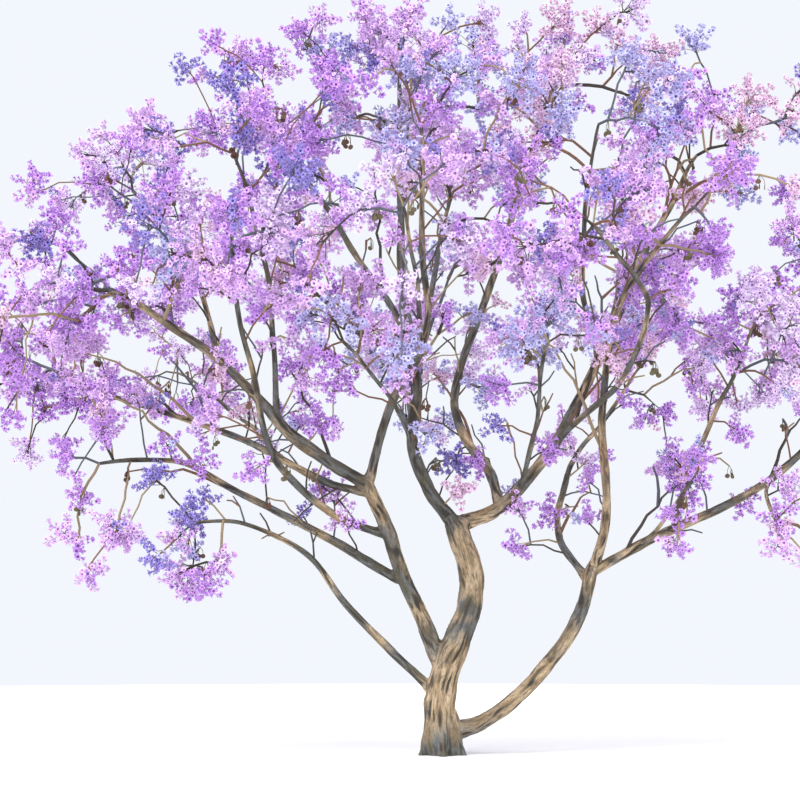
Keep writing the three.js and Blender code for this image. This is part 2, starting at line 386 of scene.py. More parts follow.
def fits_box(place, radius):
    """Whether a clump stays in the frame's box."""
    low, high = cad_box
    return all(a - BOX_SPARE < p - radius and p + radius < b + BOX_SPARE for p, a, b in zip(place, low, high))


def clumps_of(node, chance):
    """The clumps of one mass, no more than its area asks for."""
    middle = middle_of(node)
    area = sum(f.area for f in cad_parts[node].data.polygons)
    wanted = round(area * CLUMPS_PER_M2 * FULLNESS.get(node.replace("blossom_", ""), 1.0))
    clumps = []
    for point in surface_points(node, wanted * CLUMP_TRIES, chance):
        radius = chance.uniform(*CLUMP_RADIUS)
        arm = point - middle
        depth = clump_depth(node, point, arm, radius, chance)
        place = middle + arm * max(NEAREST_TO_MIDDLE, 1 - depth / arm.length)
        if is_free(place) and fits_box(place, radius) and not in_gap(place, radius):
            clumps.append(Clump(place, (arm.normalized() + UP * TURNED_UP).normalized(), radius))
            taken.append(place)
        if len(clumps) == wanted:
            break
    return clumps


chances = {node: random.Random(node) for node in masses}
clumps = {node: clumps_of(node, chances[node]) for node in masses}
clump_counts = [len(each) for each in clumps.values()]
print(sum(clump_counts), "clumps; the fullest mass has", max(clump_counts))

# %% [markdown]
# ## The branching rule
# Inside each mass the branches grow on from the end of its bough. The clumps are reached one after another,
# the nearest first. Each new branch leaves the grown wood at the point that makes the way short, counted
# partly from the clump and partly from the bough, which is how real crowns save wood without detours. A
# branch bends upwards on its way and wavers from step to step. Its thickness follows the pipe rule: it is
# as thick as all that it has to feed.

# %% Growing the branches of a mass
STEP = 0.2
FEWEST_STEPS = 2
THRIFT = 0.4
WAVER = 0.04
BEND_UP = 0.09
LEADER_SHARE = 0.75
PIPE_POWER = 2.7
THINNEST_BRANCH = 0.01


def grow_path(start, end, chance):
    """The steps of one branch between two points, without the start."""
    length = (end - start).length
    steps = max(FEWEST_STEPS, round(length / STEP))
    path = []
    for i in range(1, steps + 1):
        share = i / steps
        bow = math.sin(math.pi * share)
        waver = Vector(chance.uniform(-1, 1) for _ in range(3)) * WAVER
        path.append(start.lerp(end, share) + (UP * BEND_UP * length + waver) * bow)
    return path


def nearest_first(node, tip):
    """The clumps of one mass in the order in which branches from the bough's tip reach them."""
    return sorted(clumps[node], key=lambda clump: (clump.place - tip).length)


def grow_mass(node, chance):
    """One mass's joints (place, the joint before), its branches as lists of joints, and their ends."""
    tip = walked[bough_of(node)][-1][0]
    joints, travelled, branches, ends = [(tip, None)], [0.0], [], []

    def add_branch(base, end):
        branch = [base]
        for place in grow_path(joints[base][0], end, chance):
            before = branch[-1]
            joints.append((place, before))
            travelled.append(travelled[before] + (place - joints[before][0]).length)
            branch.append(len(joints) - 1)
        branches.append(branch)
        return branch[-1]

    add_branch(0, tip.lerp(middle_of(node), LEADER_SHARE))
    for place, _, _ in nearest_first(node, tip):
        base = min(range(len(joints)), key=lambda i: (place - joints[i][0]).length + THRIFT * travelled[i])
        ends.append(add_branch(base, place))
    return joints, branches, ends


def thickness(node, joints, ends):
    """The radius at each joint, from the load that it carries, where the bough's tip carries all."""
    load = [0] * len(joints)
    for end in ends:
        while end is not None:
            load[end] += 1
            end = joints[end][1]
    thickest = walked[bough_of(node)][-1][1]
    return [max(THINNEST_BRANCH, thickest * (share / load[0]) ** (1 / PIPE_POWER)) for share in load]


grown = {node: grow_mass(node, chances[node]) for node in masses}
radii_of = {node: thickness(node, joints, ends) for node, (joints, _, ends) in grown.items()}

# %% The leader of each mass is the end of its bough
for node, (joints, branches, _) in grown.items():
    leader = [(joints[i][0], radii_of[node][i]) for i in branches[0][1:]]
    walked[bough_of(node)] += leader
print("the boughs have", sum(len(stations) for stations in walked.values()), "stations with their leaders")

# %% [markdown]
# ## Modelling a limb by hand
# A limb is a tube that tapers and turns as it goes. A curve with a bevel could draw it, but a real limb also
# swells where it leaves its bearer, so it is extruded ring by ring instead, the way one pulls a branch out
# of a disc in edit mode: a step along, a resize, and a turn to stay square to the way ahead. Subdivision
# then rounds it, and because that draws a ring in, each ring is made a little wider to begin with.

# %% Working in edit mode
def deselect():
    """Leave edit mode and let go of everything, because an operator acts on all that is selected."""
    if bpy.context.object and bpy.context.object.mode != "OBJECT":
        bpy.ops.object.mode_set(mode="OBJECT")
    bpy.ops.object.select_all(action="DESELECT")


def pick(piece):
    """Select one piece alone and make it the active one."""
    deselect()
    piece.select_set(True)
    bpy.context.view_layer.objects.active = piece


def edit_all():
    """Open the active object in edit mode with everything selected."""
    bpy.ops.object.mode_set(mode="EDIT")
    bpy.ops.mesh.select_all(action="SELECT")


def turn(quaternion, centre):
    """Turn the selection about a point, with the sign swapped as the operator needs with no window."""
    for axis, angle in zip("XYZ", quaternion.to_euler("XYZ")):
        bpy.ops.transform.rotate(value=-angle, orient_axis=axis, center_override=centre)


def apply(kind, **settings):
    """Add one modifier to the active object and apply it."""
    modifier = bpy.context.object.modifiers.new(kind.lower(), kind)
    for name, value in settings.items():
        setattr(modifier, name, value)
    bpy.ops.object.modifier_apply(modifier=modifier.name)


def join(pieces, name):
    """Join the pieces into the first of them."""
    pick(pieces[0])
    for piece in pieces[1:]:
        piece.select_set(True)
    bpy.ops.object.join()
    pieces[0].name = pieces[0].data.name = name
    return pieces[0]


# %% Extruding a limb ring by ring
# The steps past the end, in radii of the limb, with the share of that radius that is left
END_ROUNDING = ((0.45, 0.8), (0.3, 0.55))


def ways_ahead(points):
    """The direction at each point of a path, halfway between the stretches before and after it."""
    steps = [(b - a).normalized() for a, b in zip(points, points[1:])]
    return [steps[0]] + [(a + b).normalized() for a, b in zip(steps, steps[1:])] + [steps[-1]]


def extrude_limb(name, stations, sides, levels):
    """A closed limb through the stations, with a rounded end."""
    points, radii = [p for p, _ in stations], [r for _, r in stations]
    ways, last_radius = ways_ahead(points), radii[-1]
    for step, share in END_ROUNDING:
        points.append(points[-1] + ways[-1] * step * last_radius)
        radii.append(last_radius * share)
        ways.append(ways[-1])
    # Subdivision mixes each corner of a ring with its two neighbours, four parts to one and one.
    widened = 6 / (4 + 2 * math.cos(2 * math.pi / sides)) if levels else 1
    deselect()
    upright = ways[0].to_track_quat("Z", "Y").to_euler()
    bpy.ops.mesh.primitive_circle_add(vertices=sides, radius=radii[0] * widened, fill_type="NGON",
                                      location=points[0], rotation=upright)
    bpy.ops.object.transform_apply(location=True, rotation=True, scale=True)
    edit_all()
    for i in range(1, len(points)):
        bpy.ops.mesh.extrude_region_move(TRANSFORM_OT_translate={"value": points[i] - points[i - 1]})
        bpy.ops.transform.resize(value=(radii[i] / radii[i - 1],) * 3, center_override=points[i])
        turn(ways[i - 1].rotation_difference(ways[i]), points[i])
    bpy.ops.mesh.select_all(action="SELECT")
    bpy.ops.mesh.normals_make_consistent(inside=False)
    bpy.ops.object.mode_set(mode="OBJECT")
    if levels:
        apply("SUBSURF", levels=levels, render_levels=levels)
    bpy.context.object.name = name
    return bpy.context.object


# %% [markdown]
# ## The path of each limb
# The walked stations are closer together than the rings need to be, and the frame's tubes are straight from
# ring to ring, so the path is thinned out and eased. It begins in the middle of the bearer.

# %% Paths with even steps
EASED = 2


def thin_out(stations, gap):
    """Keep the first and last stations, and between them only those at least a gap apart."""
    kept = [stations[0]]
    for station in stations[1:-1]:
        if (station[0] - kept[-1][0]).length >= gap and (station[0] - stations[-1][0]).length >= gap / 2:
            kept.append(station)
    return kept + [stations[-1]]


def ease(stations, times):
    """Round off the knees: each inner station moves halfway to the middle of its neighbours."""
    for _ in range(times):
        between = [
            (b[0] / 2 + (a[0] + c[0]) / 4, b[1] / 2 + (a[1] + c[1]) / 4)
            for a, b, c in zip(stations, stations[1:], stations[2:])
        ]
        stations = [stations[0]] + between + [stations[-1]]
    return stations


def limb_path(name, gap):
    """The limb's stations from the middle of its bearer to its end."""
    stations = thin_out(walked[name], gap)
    if name in bearers:
        stations = [(bearers[name][1].copy(), stations[0][1])] + stations
    return ease(stations, EASED)


def lengths_along(stations):
    """How far along the path each station lies."""
    steps = [(b[0] - a[0]).length for a, b in zip(stations, stations[1:])]
    return [sum(steps[:i]) for i in range(len(stations))]


# %% [markdown]
# ## Stubs and collars
# Where a limb leaves its bearer, real wood swells into a collar. The boughs are modelled later as tidy tubes
# of their own. Here each gets a stub that will be part of the trunk: it starts wider than its bough, as the
# collar does, and ends narrower, hidden inside it, so that no seam shows.

# %% Stubs with collars
COLLAR = 0.3
COLLAR_LENGTH = 1.8
STUB_LENGTH = 0.6
STUB_END = 0.86
TRUNK_RING_GAP = 0.16
TRUNK_SIDES = 16


def with_collar(name, gap, collar):
    """A limb's path, swollen where it leaves its bearer but nowhere wider than that."""
    stations = limb_path(name, gap)
    radius, bearer_radius = stations[1][1], bearers[name][2]
    beyond = [max(0.0, far - bearer_radius) for far in lengths_along(stations)]
    swell = [1 + collar * math.exp(-b / (COLLAR_LENGTH * radius)) for b in beyond]
    return [(p, min(r * s, bearer_radius)) for (p, r), s in zip(stations, swell)]


def stub(name):
    """The start of a bough: swollen at its bearer, then drawn in until it is hidden inside the bough."""
    stations = with_collar(name, TRUNK_RING_GAP / 2, COLLAR)
    length = bearers[name][2] + STUB_LENGTH
    return [(p, r * (1 + (STUB_END - 1) * far / length))
            for (p, r), far in zip(stations, lengths_along(stations)) if far <= length]


# %% [markdown]
# ## The foot
# At the ground a trunk spreads into a few root toes with webs between them. One wide cone would look like a
# vase, so the frame's flare is taken back to a core, and a short thick limb runs down the trunk and outwards
# in each direction in which the frame's foot reaches furthest. The forks are blended later, and the toes
# with them.

# %% Root toes
TOES = 5
FOOT_RAYS = 60
CLOSE_TO_GROUND = 0.01
TOE_TOP = 0.75
# Each station of a toe: its share of the reach, its share of the toe's top, and its thickness
TOE_RUN = (
    (0.3, 1.0, 0.11), (0.43, 0.58, 0.125), (0.58, 0.28, 0.11),
    (0.76, 0.08, 0.085), (0.9, 0.0, 0.065), (1.0, -0.05, 0.045),
)
FOOT_CORE = 1.06
FLARE_TOP = 0.45
WEB = 0.22
GROUND_SINK = 0.15


def toe_bearings():
    """The bearings in which the frame's trunk reaches furthest at the ground, one for each toe."""
    skin = skin_of("trunk")
    bearings = [2 * math.pi * i / FOOT_RAYS for i in range(FOOT_RAYS)]
    origin = UP * CLOSE_TO_GROUND
    rays = [skin.ray_cast(origin, Vector((math.cos(b), math.sin(b), 0))) for b in bearings]
    reaches = [hit[3] or 0 for hit in rays]
    window = FOOT_RAYS // TOES
    starts = range(max(range(window), key=lambda i: sum(reaches[i::window])), FOOT_RAYS, window)
    return [(bearings[i], reaches[i]) for i in starts]


def toe(bearing, reach):
    """One root toe, from inside the trunk down to where it dips into the ground."""
    out = Vector((math.cos(bearing), math.sin(bearing), 0))
    return [(out * reach * share + UP * TOE_TOP * height, thick) for share, height, thick in TOE_RUN]


def core(point, radius, core_radius):
    """A station of the trunk without the frame's flare, and with the webs between the toes."""
    if point.z >= FLARE_TOP:
        return point, radius
    return point, min(radius, core_radius * (1 + WEB * (1 - point.z / FLARE_TOP)))


toes = [toe(*each) for each in toe_bearings()]
trunk_path = limb_path("trunk", TRUNK_RING_GAP)
core_radius = min(r for p, r in trunk_path if p.z < 2 * FLARE_TOP) * FOOT_CORE
trunk_path = [core(*station, core_radius) for station in trunk_path]
trunk_path = [(trunk_path[0][0] - UP * GROUND_SINK, trunk_path[0][1])] + trunk_path
print(len(toes), "toes round a core of", round(core_radius, 3), "m")

# %% [markdown]
# ## Trunk, stems and forks
# The trunk, its toes, its two low stems and the stubs of every bough that they bear become one piece, so
# that the forks can be blended. A boolean union would leave sharp creases. Instead the tubes are joined, a
# voxel remesh turns them into a single skin, and smoothing rounds the crotches.

# %% Blending the forks
TRUNK_VOXEL = 0.015
TRUNK_SMOOTHING = {"factor": 0.5, "iterations": 6}
STUB_SIDES = 12
TOE_SIDES = 8
BLENDED_SHARE = 0.25
STEMS = ("stem_left", "stem_low_right")
trunk_limbs = ("trunk",) + STEMS
# The boughs on the trunk and on its stems are blended, and of the boughs on those the thick ones
forks = [name for name, (bearer, _, _) in bearers.items() if bearer in trunk_limbs and name not in STEMS]
forks += [name for name, (bearer, _, _) in bearers.items()
          if bearer in forks and walked[name][0][1] > BLENDED_SHARE * core_radius]

tubes = [extrude_limb("trunk", trunk_path, TRUNK_SIDES, 1)]
tubes += [extrude_limb("toe", ease(stations, 1), TOE_SIDES, 1) for stations in toes]
tubes += [extrude_limb(name, with_collar(name, TRUNK_RING_GAP, COLLAR), STUB_SIDES, 1) for name in STEMS]
tubes += [extrude_limb(name, stub(name), STUB_SIDES, 1) for name in forks]
trunk = join(tubes, "trunk_and_forks")
apply("REMESH", mode="VOXEL", voxel_size=TRUNK_VOXEL, use_smooth_shade=True)
apply("SMOOTH", **TRUNK_SMOOTHING)
print("trunk and", len(forks), "forks:", len(trunk.data.polygons), "faces")

# %% [markdown]
# ## Boughs
# Outside the forks each bough is a plain tapering tube, so the extruded rings can stay as they are: their
# faces run along the limb, which suits bark. Thick boughs get more faces round them than thin ones.

# %% Extruding the boughs
THICK_BOUGH = 0.07
BOUGH_SIDES = 8
BOUGH_RING_GAP = 0.16
THIN_RING_GAP = 0.12
SIDE_COLLAR = 0.45


def bough_path(name, gap):
    """The whole bough, with a collar where it leaves a bearer that isn't part of the blended trunk."""
    return limb_path(name, gap) if name in forks else with_collar(name, gap, SIDE_COLLAR)


def side_of(name):
    """Which half of the crown a bough grows into."""
    return "left" if walked[name][-1][0].x < 0 else "right"


def model_bough(name):
    """One bough, rounder if it is thick."""
    thick = walked[name][0][1] > THICK_BOUGH
    path = bough_path(name, BOUGH_RING_GAP if thick else THIN_RING_GAP)
    return extrude_limb(name, path, BOUGH_SIDES, 2 if thick else 1)


bough_names = {"left": [], "right": []}
for name in limb_names:
    if name not in trunk_limbs:
        bough_names[side_of(name)].append(name)
boughs = {side: join([model_bough(name) for name in names], "boughs_" + side)
          for side, names in bough_names.items()}
for piece in boughs.values():
    print(piece.name, len(piece.data.polygons), "faces")

# %% [markdown]
# ## Bark in relief
# Old bark splits into long furrows between corky ridges, and the furrows follow the limb round every bend.
# A pattern in plain space would cut across the bends, so each point of the bark first gets its place on its
# limb: how far out it lies on two sides of the middle line, and how far along. Noise that is stretched along
# the limb then gives the ridges. The place, the depth of relief, the girth and the limb's own shade are
# stored on the mesh, so that the bark's colour can follow them. Girth and shade flow through the forks.

# %% Rails along every limb
NEAREST_STATIONS = 6
STATIONS_ROUND_ABOUT = 14
# How much further the dark stretches of a limb spread than usual, as in the picture
SHADES = {
    "bough_top_middle": 0.13, "bough_low_front_left": 0.1, "bough_top_left": 0.05, "stem_low_right": -0.07,
    "bough_right_tip": -0.06, "bough_right_front": -0.09, "bough_tuft_right": -0.04, "bough_top_right": 0.02,
}
Rail = namedtuple("Rail", "middle radius way side along shade")


def rails(name, stations):
    """A rail for each station of a limb. Its side twists as little as possible from one to the next."""
    ways = ways_ahead([p for p, _ in stations])
    side, laid = ways[0].orthogonal().normalized(), []
    for (point, radius), way, far in zip(stations, ways, lengths_along(stations)):
        side = (side - way * side.dot(way)).normalized()
        laid.append(Rail(point, radius, way, side, far, SHADES.get(name, 0.0)))
    return laid


all_rails = [rail for name, stations in walked.items() for rail in rails(name, stations)]
tree_of_rails = kdtree.KDTree(len(all_rails))
for i, rail in enumerate(all_rails):
    tree_of_rails.insert(rail.middle, i)
tree_of_rails.balance()


def rails_near(point):
    """The rails round about a point with their distances, the nearest first."""
    found = tree_of_rails.find_n(point, STATIONS_ROUND_ABOUT)
    return [(all_rails[i], distance) for _, i, distance in found]


def place_on_limb(point, near):
    """How far across its limb, across the other way and along it a point of the bark lies."""
    candidates = [rail for rail, _ in near[:NEAREST_STATIONS]]
    rail = min(candidates, key=lambda rail: (point - rail.middle).length / rail.radius)
    arm = point - rail.middle
    across, other = arm.dot(rail.side), arm.dot(rail.way.cross(rail.side))
    return Vector((across, other, rail.along + arm.dot(rail.way)))


def girth_and_shade(near):
    """The radius and shade of the wood round about, in which near and thick stations count for more."""
    reach = near[-1][1]
    weights = [rail.radius * (1 - distance / reach) ** 2 for rail, distance in near]
    girth = sum(weight * rail.radius for weight, (rail, _) in zip(weights, near))
    shade = sum(weight * rail.shade for weight, (rail, _) in zip(weights, near))
    return girth / sum(weights), shade / sum(weights)


# %% Furrows and knobs
FURROWS = Vector((15, 15, 2.6))
HIGHEST_RIDGE = 1.4
FURROW_DEPTH = 0.1
DEEPEST_FURROW = 0.017
FURROW_WAVER = 0.6
# Roughness, how much finer each layer is, layers, offset and gain of the ridged noise
RIDGES = (0.9, 2.1, 3, 0.9, 1.6)
KNOBS = 3.2
KNOB_HEIGHT = 0.13


def relief_at(place, point):
    """How high the bark stands at a point: from 0 in the bottom of a furrow to 1 on a ridge."""
    grain = Vector(a * b for a, b in zip(place, FURROWS))
    grain += noise.noise_vector(point * KNOBS) * FURROW_WAVER
    return min(1.0, noise.ridged_multi_fractal(grain, *RIDGES) / HIGHEST_RIDGE)


def bark_at(point, normal):
    """Where a point of the bark moves, and its place, relief, girth and shade."""
    near = rails_near(point)
    place = place_on_limb(point, near)
    girth, shade = girth_and_shade(near)
    relief = relief_at(place, point)
    depth = min(DEEPEST_FURROW, FURROW_DEPTH * girth)
    knob = noise.noise(point * KNOBS) * KNOB_HEIGHT * girth
    return point + normal * ((relief - 1) * depth + knob), place, relief, girth, shade


def bark_relief(piece):
    """Move the bark in or out along its normals, and store what its finish will ask for."""
    mesh = piece.data
    normals = [normal.vector.copy() for normal in mesh.vertex_normals]
    found = [bark_at(vertex.co, normal) for vertex, normal in zip(mesh.vertices, normals)]
    moved, places, relief, girth, shade = (np.array(values, dtype=np.float32) for values in zip(*found))
    mesh.vertices.foreach_set("co", moved.ravel())
    mesh.attributes.new("bark_place", "FLOAT_VECTOR", "POINT").data.foreach_set("vector", places.ravel())
    for title, values in (("bark_relief", relief), ("bark_girth", girth), ("bark_shade", shade)):
        mesh.attributes.new(title, "FLOAT", "POINT").data.foreach_set("value", values)
    mesh.update()
    pick(piece)
    bpy.ops.object.shade_smooth()
    print(piece.name, "has", len(moved), "corners and relief from", relief.min().round(2), "to", relief.max())


wood = [trunk, *boughs.values()]
for piece in wood:
    bark_relief(piece)

# %% [markdown]
# ## The flat cut
# The trunk and its toes were modelled on into the ground, because a remesh rounds off every end. Cutting the
# foot along the ground gives a clean edge and a flat closed face, on which the tree can be set down. Then
# every node of the frame's wood gives way to the piece that stands for it.

# %% The flat cut at the ground
pick(trunk)
edit_all()
bpy.ops.mesh.bisect(plane_co=(0, 0, 0), plane_no=(0, 0, 1), use_fill=True, clear_inner=True)
bpy.ops.object.mode_set(mode="OBJECT")
print("the trunk's lowest point is at", round(min(v.co.z for v in trunk.data.vertices), 4))

# %% Riding and replacing
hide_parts(*trunk_limbs)
for side, piece in boughs.items():
    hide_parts(*bough_names[side])
for piece in wood:
    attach(piece, "root")

# %% [markdown]
# ## Side shoots
# Between the fork and the mass a bough isn't bare. Short shoots leave it on all sides, fork once, and the
# upper ones carry small sprays, which closes the space under the crown as in the picture. Low down most of
# them are dry twigs, so that the sky stays open round the limbs. Here and there a long shoot runs up beside
# its bough, as the thin strokes next to the thick ones do.

# %% Shoots along every bough
SHOOT_GAP = (0.3, 0.7)
LOWEST_SHOOT = 2.9
SHOOT_LENGTH = (0.35, 1.05)
SHOOT_CLUMP = (0.16, 0.3)
SHOOT_RADIUS = 0.016
FULL_ABOVE = 5.8
RIM_DROOP = 0.45
SELDOM_BELOW = 0.32
SHOOT_RISE = 0.5
SHOOT_FORKS = 0.65
FORK_SHARE = 0.6
SHOOT_LEAN = (0.1, 0.8)
LONG_SHOOTS = 0.22
BEARS_LONG_SHOOTS = 0.045
LONG_SHOOT_LENGTH = (1.2, 2.3)
LONG_SHOOT_LEAN = (1.6, 2.4)
LONG_SHOOT_RADIUS = 0.03
# The clump is None on a dry shoot, and the tint is None where the crown's own tints will do.
Shoot = namedtuple("Shoot", "points clump radius tint")


def shoot_way(ahead, lean, chance):
    """A way out of a bough: to a random side, a little upwards, and along the bough by the lean."""
    side = Quaternion(ahead, chance.uniform(0, 2 * math.pi)) @ ahead.orthogonal().normalized()
    return (side + UP * SHOOT_RISE + ahead * chance.uniform(*lean)).normalized()


def end_clump(points, radius):
    """A clump at the end of a shoot, which faces on along it."""
    return Clump(points[-1], (points[-1] - points[-2]).normalized(), radius)


def shoots_of(name, chance):
    """The shoots of one bough, most of them forked, in flower above the line where the crown begins."""
    stations = walked[name]
    ways = ways_ahead([p for p, _ in stations])
    shoots, wait = [], chance.uniform(*SHOOT_GAP)
    for (point, thick), way, far in zip(stations, ways, lengths_along(stations)):
        if far < wait or point.z < LOWEST_SHOOT:
            continue
        wait = far + chance.uniform(*SHOOT_GAP)
        long = thick > BEARS_LONG_SHOOTS and chance.random() < LONG_SHOOTS
        out = shoot_way(way, LONG_SHOOT_LEAN if long else SHOOT_LEAN, chance)
        end = point + out * chance.uniform(*(LONG_SHOOT_LENGTH if long else SHOOT_LENGTH))
        tips = [[point] + grow_path(point, end, chance)]
        if chance.random() < SHOOT_FORKS:
            base = tips[0][len(tips[0]) // 2]
            fork = shoot_way(out, SHOOT_LEAN, chance) * chance.uniform(*SHOOT_LENGTH) * FORK_SHARE
            tips.append([base] + grow_path(base, base + fork, chance))
        for points in tips:
            flower_line = FULL_ABOVE - RIM_DROOP * points[-1].xy.length
            flowers = points[-1].z > flower_line or chance.random() < SELDOM_BELOW
            flowers = flowers and not in_gap(points[-1], SHOOT_CLUMP[0])
            clump = end_clump(points, chance.uniform(*SHOOT_CLUMP)) if flowers else None
            shoots.append(Shoot(points, clump, LONG_SHOOT_RADIUS if long else SHOOT_RADIUS, None))
    return shoots


# %% [markdown]
# ## Hanging twigs
# At the rim of the crown the weight of the flowers draws thin twigs down, and a fringe of small sprays hangs
# under it. Each starts in a low clump at the rim and falls a little outwards.

# %% Twigs that hang from the rim
RIM_FROM = 3.0
RIM_TOP = 7.0
HANG_CHANCE = 0.6
HANG_DROP = (0.35, 1.1)
HANG_OUT = 0.5
LOWEST_HANG = 2.4


def hanging_of(node, chance):
    """Twigs that droop from the low clumps at the crown's rim, each with a small spray at its end."""
    hanging = []
    for place, _, _ in clumps[node]:
        if place.z > RIM_TOP or place.xy.length < RIM_FROM or chance.random() > HANG_CHANCE:
            continue
        out = Vector((place.x, place.y, 0)).normalized() * HANG_OUT * chance.random()
        end = place + out - UP * chance.uniform(*HANG_DROP)
        radius = chance.uniform(*SHOOT_CLUMP)
        if end.z > LOWEST_HANG and fits_box(end, radius) and not in_gap(end, radius):
            points = [place] + grow_path(place, end, chance)
            hanging.append(Shoot(points, Clump(points[-1], -UP, radius), SHOOT_RADIUS, None))
    return hanging


shoots = {node: shoots_of(bough_of(node), chance) + hanging_of(node, chance)
          for node, chance in chances.items()}

# %% [markdown]
# ## Lone sprays
# Under the crown and at its rim single sprays stand apart, and the eye knows the tree by them. Chance would
# put them elsewhere, so each is named by where the viewer sees it, and by its tint. Its depth isn't in the
# picture: the spray grows on a shoot from whatever wood comes nearest to that line of sight.

# %% Lone sprays where the picture has a lone dab
LONE_SPRAYS = {
    "violet": ((322, 423), (645, 420), (697, 455), (478, 462), (549, 513), (521, 546), (205, 465), (256, 469),
               (205, 578), (104, 430), (202, 416), (778, 516), (58, 224), (45, 262), (90, 275), (712, 246),
               (115, 320), (33, 181), (335, 70), (688, 72), (712, 96), (660, 300), (735, 302), (770, 310),
               (501, 386), (370, 80), (65, 396), (569, 211), (736, 430), (735, 322)),
    "indigo": ((455, 462), (186, 512), (158, 556), (498, 426), (352, 48), (374, 58), (33, 240)),
    "orchid": ((65, 533), (108, 524), (150, 405), (305, 379), (644, 146), (527, 270), (322, 22), (30, 300),
               (278, 68), (82, 154), (18, 266), (618, 140), (288, 339), (470, 190)),
    "periwinkle": ((480, 388), (590, 60)),
    "mauve": ((457, 492),),
}
LONE_RADIUS = (0.24, 0.34)
FORWARD = 0.3


def nearest_wood(way):
    """The mass whose wood comes nearest to a line of sight, the place there, and how far along it is."""
    options = []
    for node in masses:
        joints, _, _ = grown[node]
        for place, _ in walked[bough_of(node)] + joints:
            along = (place - EYE).dot(way)
            options.append(((place - EYE - way * along).length, node, place, along))
    return min(options, key=lambda option: option[0])[1:]


def add_lone_spray(across, down, tint):
    """Grow a shoot with a spray to a line of sight, a little in front of its wood, and give its length."""
    way = sight(across, down)
    node, start, along = nearest_wood(way)
    chance = chances[node]
    points = [start] + grow_path(start, EYE + way * (along - FORWARD), chance)
    clump = end_clump(points, chance.uniform(*LONE_RADIUS))
    shoots[node].append(Shoot(points, clump, SHOOT_RADIUS, tint))
    return (points[-1] - start).length


lone_lengths = [add_lone_spray(*pixel, tint) for tint, pixels in LONE_SPRAYS.items() for pixel in pixels]
print(len(lone_lengths), "lone sprays, on shoots up to", round(max(lone_lengths), 2), "m long")
in_flower = [shoot.clump is not None for of_mass in shoots.values() for shoot in of_mass]
print(len(in_flower), "side shoots,", sum(in_flower), "in flower")

# %% [markdown]
# ## One flower
# A jacaranda flower is a slender violet trumpet with five rounded lobes, held in a spray so that it nods
# outwards. There will be tens of thousands, so one flower has only a few faces: a five-sided cone, whose
# narrow end sits on the stalk, and one lobe pulled out of each side of its mouth. A bud has fewer still.

# %% Modelling the flower
PETALS = 5
TUBE_LENGTH = 0.062
MOUTH = 0.021
LOBE_OUT = 0.022
LOBE_ON = 0.008
LOBE_WIDER = 1.3
NEAR_THE_RIM = 0.9


def select_parts(parts, chosen):
    """Select the chosen edges or faces of the active object and open edit mode on them."""
    bpy.ops.object.mode_set(mode="EDIT")
    bpy.ops.mesh.select_all(action="DESELECT")
    bpy.ops.object.mode_set(mode="OBJECT")
    for i in chosen:
        parts[i].select = True
    bpy.ops.object.mode_set(mode="EDIT")


def model_flower():
    """A five-sided trumpet along +Z with its narrow end at the origin."""
    deselect()
    bpy.ops.mesh.primitive_cone_add(vertices=PETALS, radius1=0, radius2=MOUTH, depth=TUBE_LENGTH,
                                    end_fill_type="NOTHING", location=(0, 0, TUBE_LENGTH / 2))
    flower = bpy.context.object
    bpy.ops.object.transform_apply(location=True, rotation=True, scale=True)
    bpy.context.tool_settings.mesh_select_mode = (False, True, False)
    high = [v.co.z > TUBE_LENGTH * NEAR_THE_RIM for v in flower.data.vertices]
    rim = [edge.index for edge in flower.data.edges if all(high[i] for i in edge.vertices)]
    for index in rim:
        select_parts(flower.data.edges, [index])
        a, b = (flower.data.vertices[i].co for i in flower.data.edges[index].vertices)
        out = ((a + b) / 2).xy.normalized() * LOBE_OUT
        move = Vector((out.x, out.y, LOBE_ON))
        bpy.ops.mesh.extrude_region_move(TRANSFORM_OT_translate={"value": move})
        bpy.ops.transform.resize(value=(LOBE_WIDER,) * 3, center_override=(a + b) / 2 + move)
        bpy.ops.object.mode_set(mode="OBJECT")
    deselect()
    return flower


flower = model_flower()
print("a flower has", len(flower.data.vertices), "corners and", len(flower.data.polygons), "faces")

# %% Modelling the bud
BUD_SIDES = 3
BUD_LENGTH = 0.04
BUD_THICK = 0.009
BUD_BULGE = 0.6
FACES_UP = 0.9


def model_bud():
    """A closed bud along +Z: three sides that swell and close again."""
    deselect()
    bulge = BUD_LENGTH * BUD_BULGE
    bpy.ops.mesh.primitive_cone_add(vertices=BUD_SIDES, radius1=0, radius2=BUD_THICK, depth=bulge,
                                    end_fill_type="NGON", location=(0, 0, bulge / 2))
    bud = bpy.context.object
    bpy.ops.object.transform_apply(location=True, rotation=True, scale=True)
    top = [f.index for f in bud.data.polygons if f.normal.z > FACES_UP]
    select_parts(bud.data.polygons, top)
    bpy.ops.mesh.poke(offset=BUD_LENGTH - bulge)
    deselect()
    return bud


bud = model_bud()
print("a bud has", len(bud.data.vertices), "corners and", len(bud.data.polygons), "faces")

# %% [markdown]
# ## From one flower to a panicle
# A panicle is a stalk with flowers in turns round it, the lowest reaching out furthest, and closed buds at
# the tip. Copies of the flower's corners are moved by one matrix each, which numpy does for all of them in
# one product. Faces keep a number that says which finish they get: lobe, tube or bud.

# %% Shapes as arrays
LOBE, TUBE, BUD = range(3)


def as_arrays(piece, kinds):
    """The corners, three-sided faces and the kind of each face of a small model, which is then removed."""
    mesh = piece.data
    mesh.calc_loop_triangles()
    corners = np.array([v.co for v in mesh.vertices])
    faces = np.array([t.vertices for t in mesh.loop_triangles])
    kind = np.array([kinds(mesh.polygons[t.polygon_index]) for t in mesh.loop_triangles])
    bpy.data.objects.remove(piece)
    return corners, faces, kind


